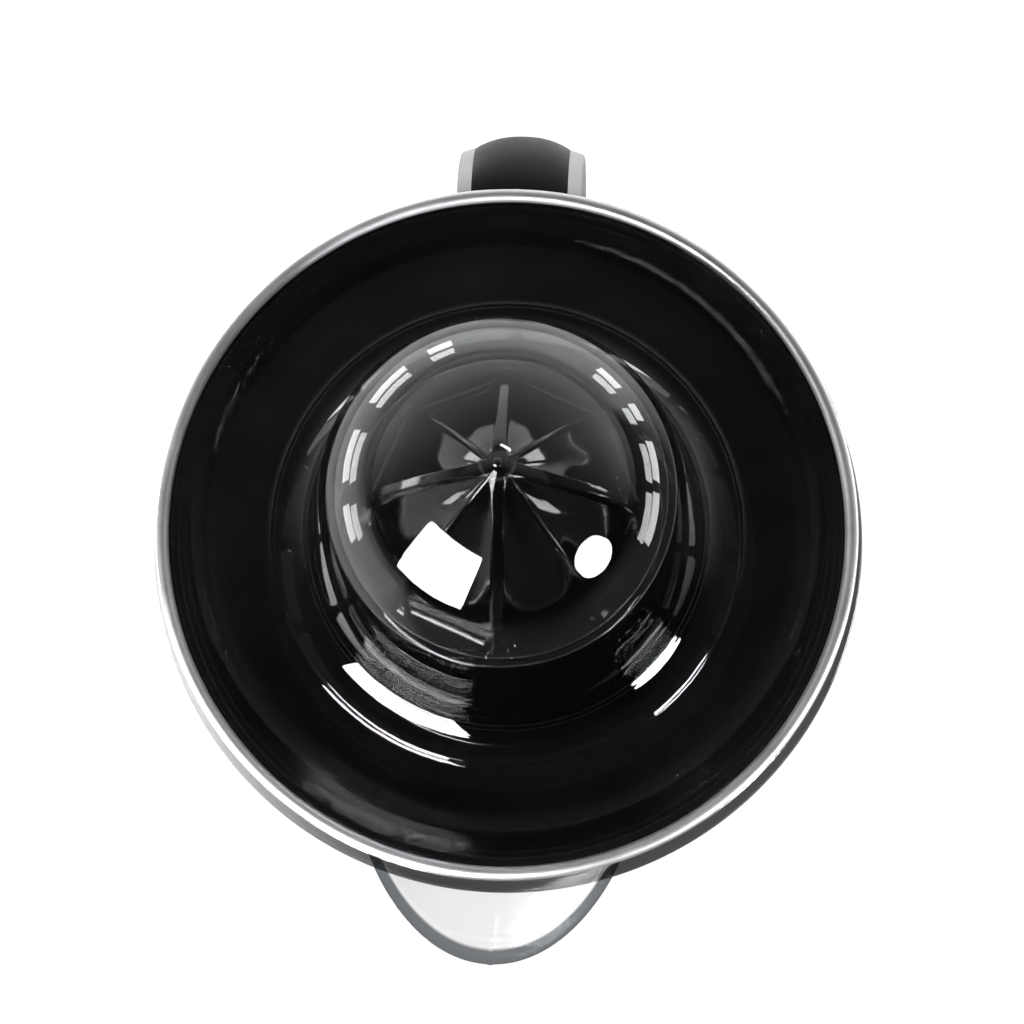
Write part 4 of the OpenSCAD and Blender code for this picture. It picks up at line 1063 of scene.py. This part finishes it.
def makeFloor():
    c = floorShape
    bm = bmesh.new()
    corners = ((-1, -1), (1, -1), (1, 1), (-1, 1))
    bm.faces.new([bm.verts.new((x * c["half"], y * c["half"], c["drop"])) for x, y in corners])
    mat, tree, shader = newMaterial("paleFloor")
    # seen directly it is plain white; what it throws back has painted shade, darker in front and to the
    # right, and pale behind
    place = addNode(tree, "ShaderNodeTexCoord")
    split = addNode(tree, "ShaderNodeSeparateXYZ")
    tree.links.new(place.outputs["Object"], split.inputs[0])
    side = mathNode(tree, "MULTIPLY_ADD", split.outputs["X"], -0.9, split.outputs["Y"])
    shade = remap(tree, side, 0, 1, -0.12, 0.08)
    # painted shade: the floor colour turns dark towards the front and right for every ray but the camera's
    tree.links.new(mixColours(tree, shade, c["paintedShadeFront"], c["rear"]), shader.inputs["Base Color"])
    shader.inputs["Roughness"].default_value = 0.9
    shader.inputs["Specular IOR Level"].default_value = 0.1
    glow = addNode(tree, "ShaderNodeEmission")
    glow.inputs["Strength"].default_value = 1.12
    path = addNode(tree, "ShaderNodeLightPath")
    blend = addNode(tree, "ShaderNodeMixShader")
    tree.links.new(remap(tree, path.outputs["Is Camera Ray"], 0.0, 0.93, 0, 1), blend.inputs["Fac"])
    tree.links.new(shader.outputs["BSDF"], blend.inputs[1])
    tree.links.new(glow.outputs["Emission"], blend.inputs[2])
    tree.links.new(blend.outputs["Shader"], tree.nodes["Material Output"].inputs["Surface"])
    floor = finishMesh("paleFloor", bm, mat)


def addPanel(name, direction, distance, width, height, power, target,
             round=False, diffuse=True, glossy=True):
    # a lamp at a distance from the target, facing it
    lamp = bpy.data.lights.new(name, "AREA")
    lamp.shape = "ELLIPSE" if round else "RECTANGLE"
    lamp.size, lamp.size_y = width, height
    lamp.energy = power
    holder = bpy.data.objects.new(name, lamp)
    way = Vector(direction).normalized()
    holder.location = target + way * distance
    holder.rotation_mode = "QUATERNION"
    holder.rotation_quaternion = way.to_track_quat("Z", "Y")
    holder.visible_camera = False
    holder.visible_diffuse = diffuse
    holder.visible_glossy = glossy
    bpy.context.collection.objects.link(holder)
    return holder


# angles in degrees, distance from the rim's middle in metres, focal length and middle for a 1024 frame
cameraShape = {
    "azimuth": 9.51, "elevation": 78.8, "roll": -7.57, "distance": 1.1,
    "frame": 1024, "focal": 4409.0, "middle": (506.0, 528.3), "sensor": 36,
}


def cameraAxes():
    c = cameraShape
    a, e, r = (math.radians(c[k]) for k in ("azimuth", "elevation", "roll"))
    back = Vector((math.sin(a) * math.cos(e), -math.cos(a) * math.cos(e), math.sin(e)))
    right = (-back).cross(Vector((0, 0, 1))).normalized()
    up = right.cross(-back)
    return right * math.cos(r) + up * math.sin(r), up * math.cos(r) - right * math.sin(r), back


def fromCamera(x, y, z):
    right, up, back = cameraAxes()
    return right * x + up * y + back * z


def makeCamera():
    c = cameraShape
    right, up, back = cameraAxes()
    data = bpy.data.cameras.new("camera")
    data.sensor_width = c["sensor"]
    data.lens = c["focal"] / c["frame"] * c["sensor"]
    data.shift_x = (c["frame"] / 2 - c["middle"][0]) / c["frame"]
    data.shift_y = (c["middle"][1] - c["frame"] / 2) / c["frame"]
    data.clip_start, data.clip_end = 0.05, 50
    camera = bpy.data.objects.new("camera", data)
    place = Vector((0, 0, rimZ)) + back * c["distance"]
    turn = Matrix((right, up, back)).transposed().to_4x4()
    camera.matrix_world = Matrix.Translation(place) @ turn
    bpy.context.collection.objects.link(camera)
    bpy.context.scene.camera = camera


def makeWorld():
    # a dim room, brighter low down behind the juicer
    world = bpy.data.worlds.new("studio")
    world.use_nodes = True
    tree = world.node_tree
    background = tree.nodes["Background"]
    background.inputs["Color"].default_value = (1, 1, 1, 1)
    view = tree.nodes.new("ShaderNodeTexCoord")
    split = tree.nodes.new("ShaderNodeSeparateXYZ")
    tree.links.new(view.outputs["Generated"], split.inputs[0])
    curve = tree.nodes.new("ShaderNodeFloatCurve")
    points = curve.mapping.curves[0].points
    points[0].location, points[1].location = (0.0, 1.0), (1.0, 0.02)
    for place in ((0.05, 1.0), (0.37, 0.56), (0.72, 0.26)):
        points.new(*place)
    curve.mapping.update()
    tree.links.new(split.outputs["Z"], curve.inputs["Value"])
    behind = remap(tree, split.outputs["Y"], 0.0, 1.1, -0.05, 0.5)
    glow = mathNode(tree, "MULTIPLY_ADD", behind, curve.outputs["Value"], 0.012)
    tree.links.new(glow, background.inputs["Strength"])
    bpy.context.scene.world = world


makeFloor()
makeCamera()
makeWorld()
bpy.context.scene.view_settings.view_transform = "Standard"
domeCentre = Vector((0, 0, coverHigh.z - coverShape["domeRadius"]))
addPanel("softbox", fromCamera(-0.58, -0.63, 0.51), 1.2, 0.85, 0.85, 80, domeCentre, diffuse=False)
addPanel("roundLamp", fromCamera(0.80, -0.50, 0.33), 1.3, 0.5, 0.5, 30, domeCentre, True, diffuse=False)
addPanel("fillLeft", (-0.8, -0.4, 0.75), 1.6, 1.2, 1.2, 22, domeCentre, glossy=False)
addPanel("fillRear", (0.3, 0.9, 0.6), 1.6, 1.2, 0.5, 26, domeCentre, glossy=False)
# low windows either side, seen only as small marks on the curved clear parts
windows = ((54, 0.07), (39, 0.05), (20, 0.11), (-2, 0.15),
           (113, 0.06), (134, 0.12), (162, 0.14), (187, 0.1))
for index, (turn, width) in enumerate(windows):
    a = math.radians(turn)
    spot = Vector((0.42 * math.cos(a), 0.42 * math.sin(a), 0.06)) - domeCentre
    addPanel("window" + str(index), spot, spot.length, width, 0.055, 1.6 * width, domeCentre, diffuse=False)
print("stage made")
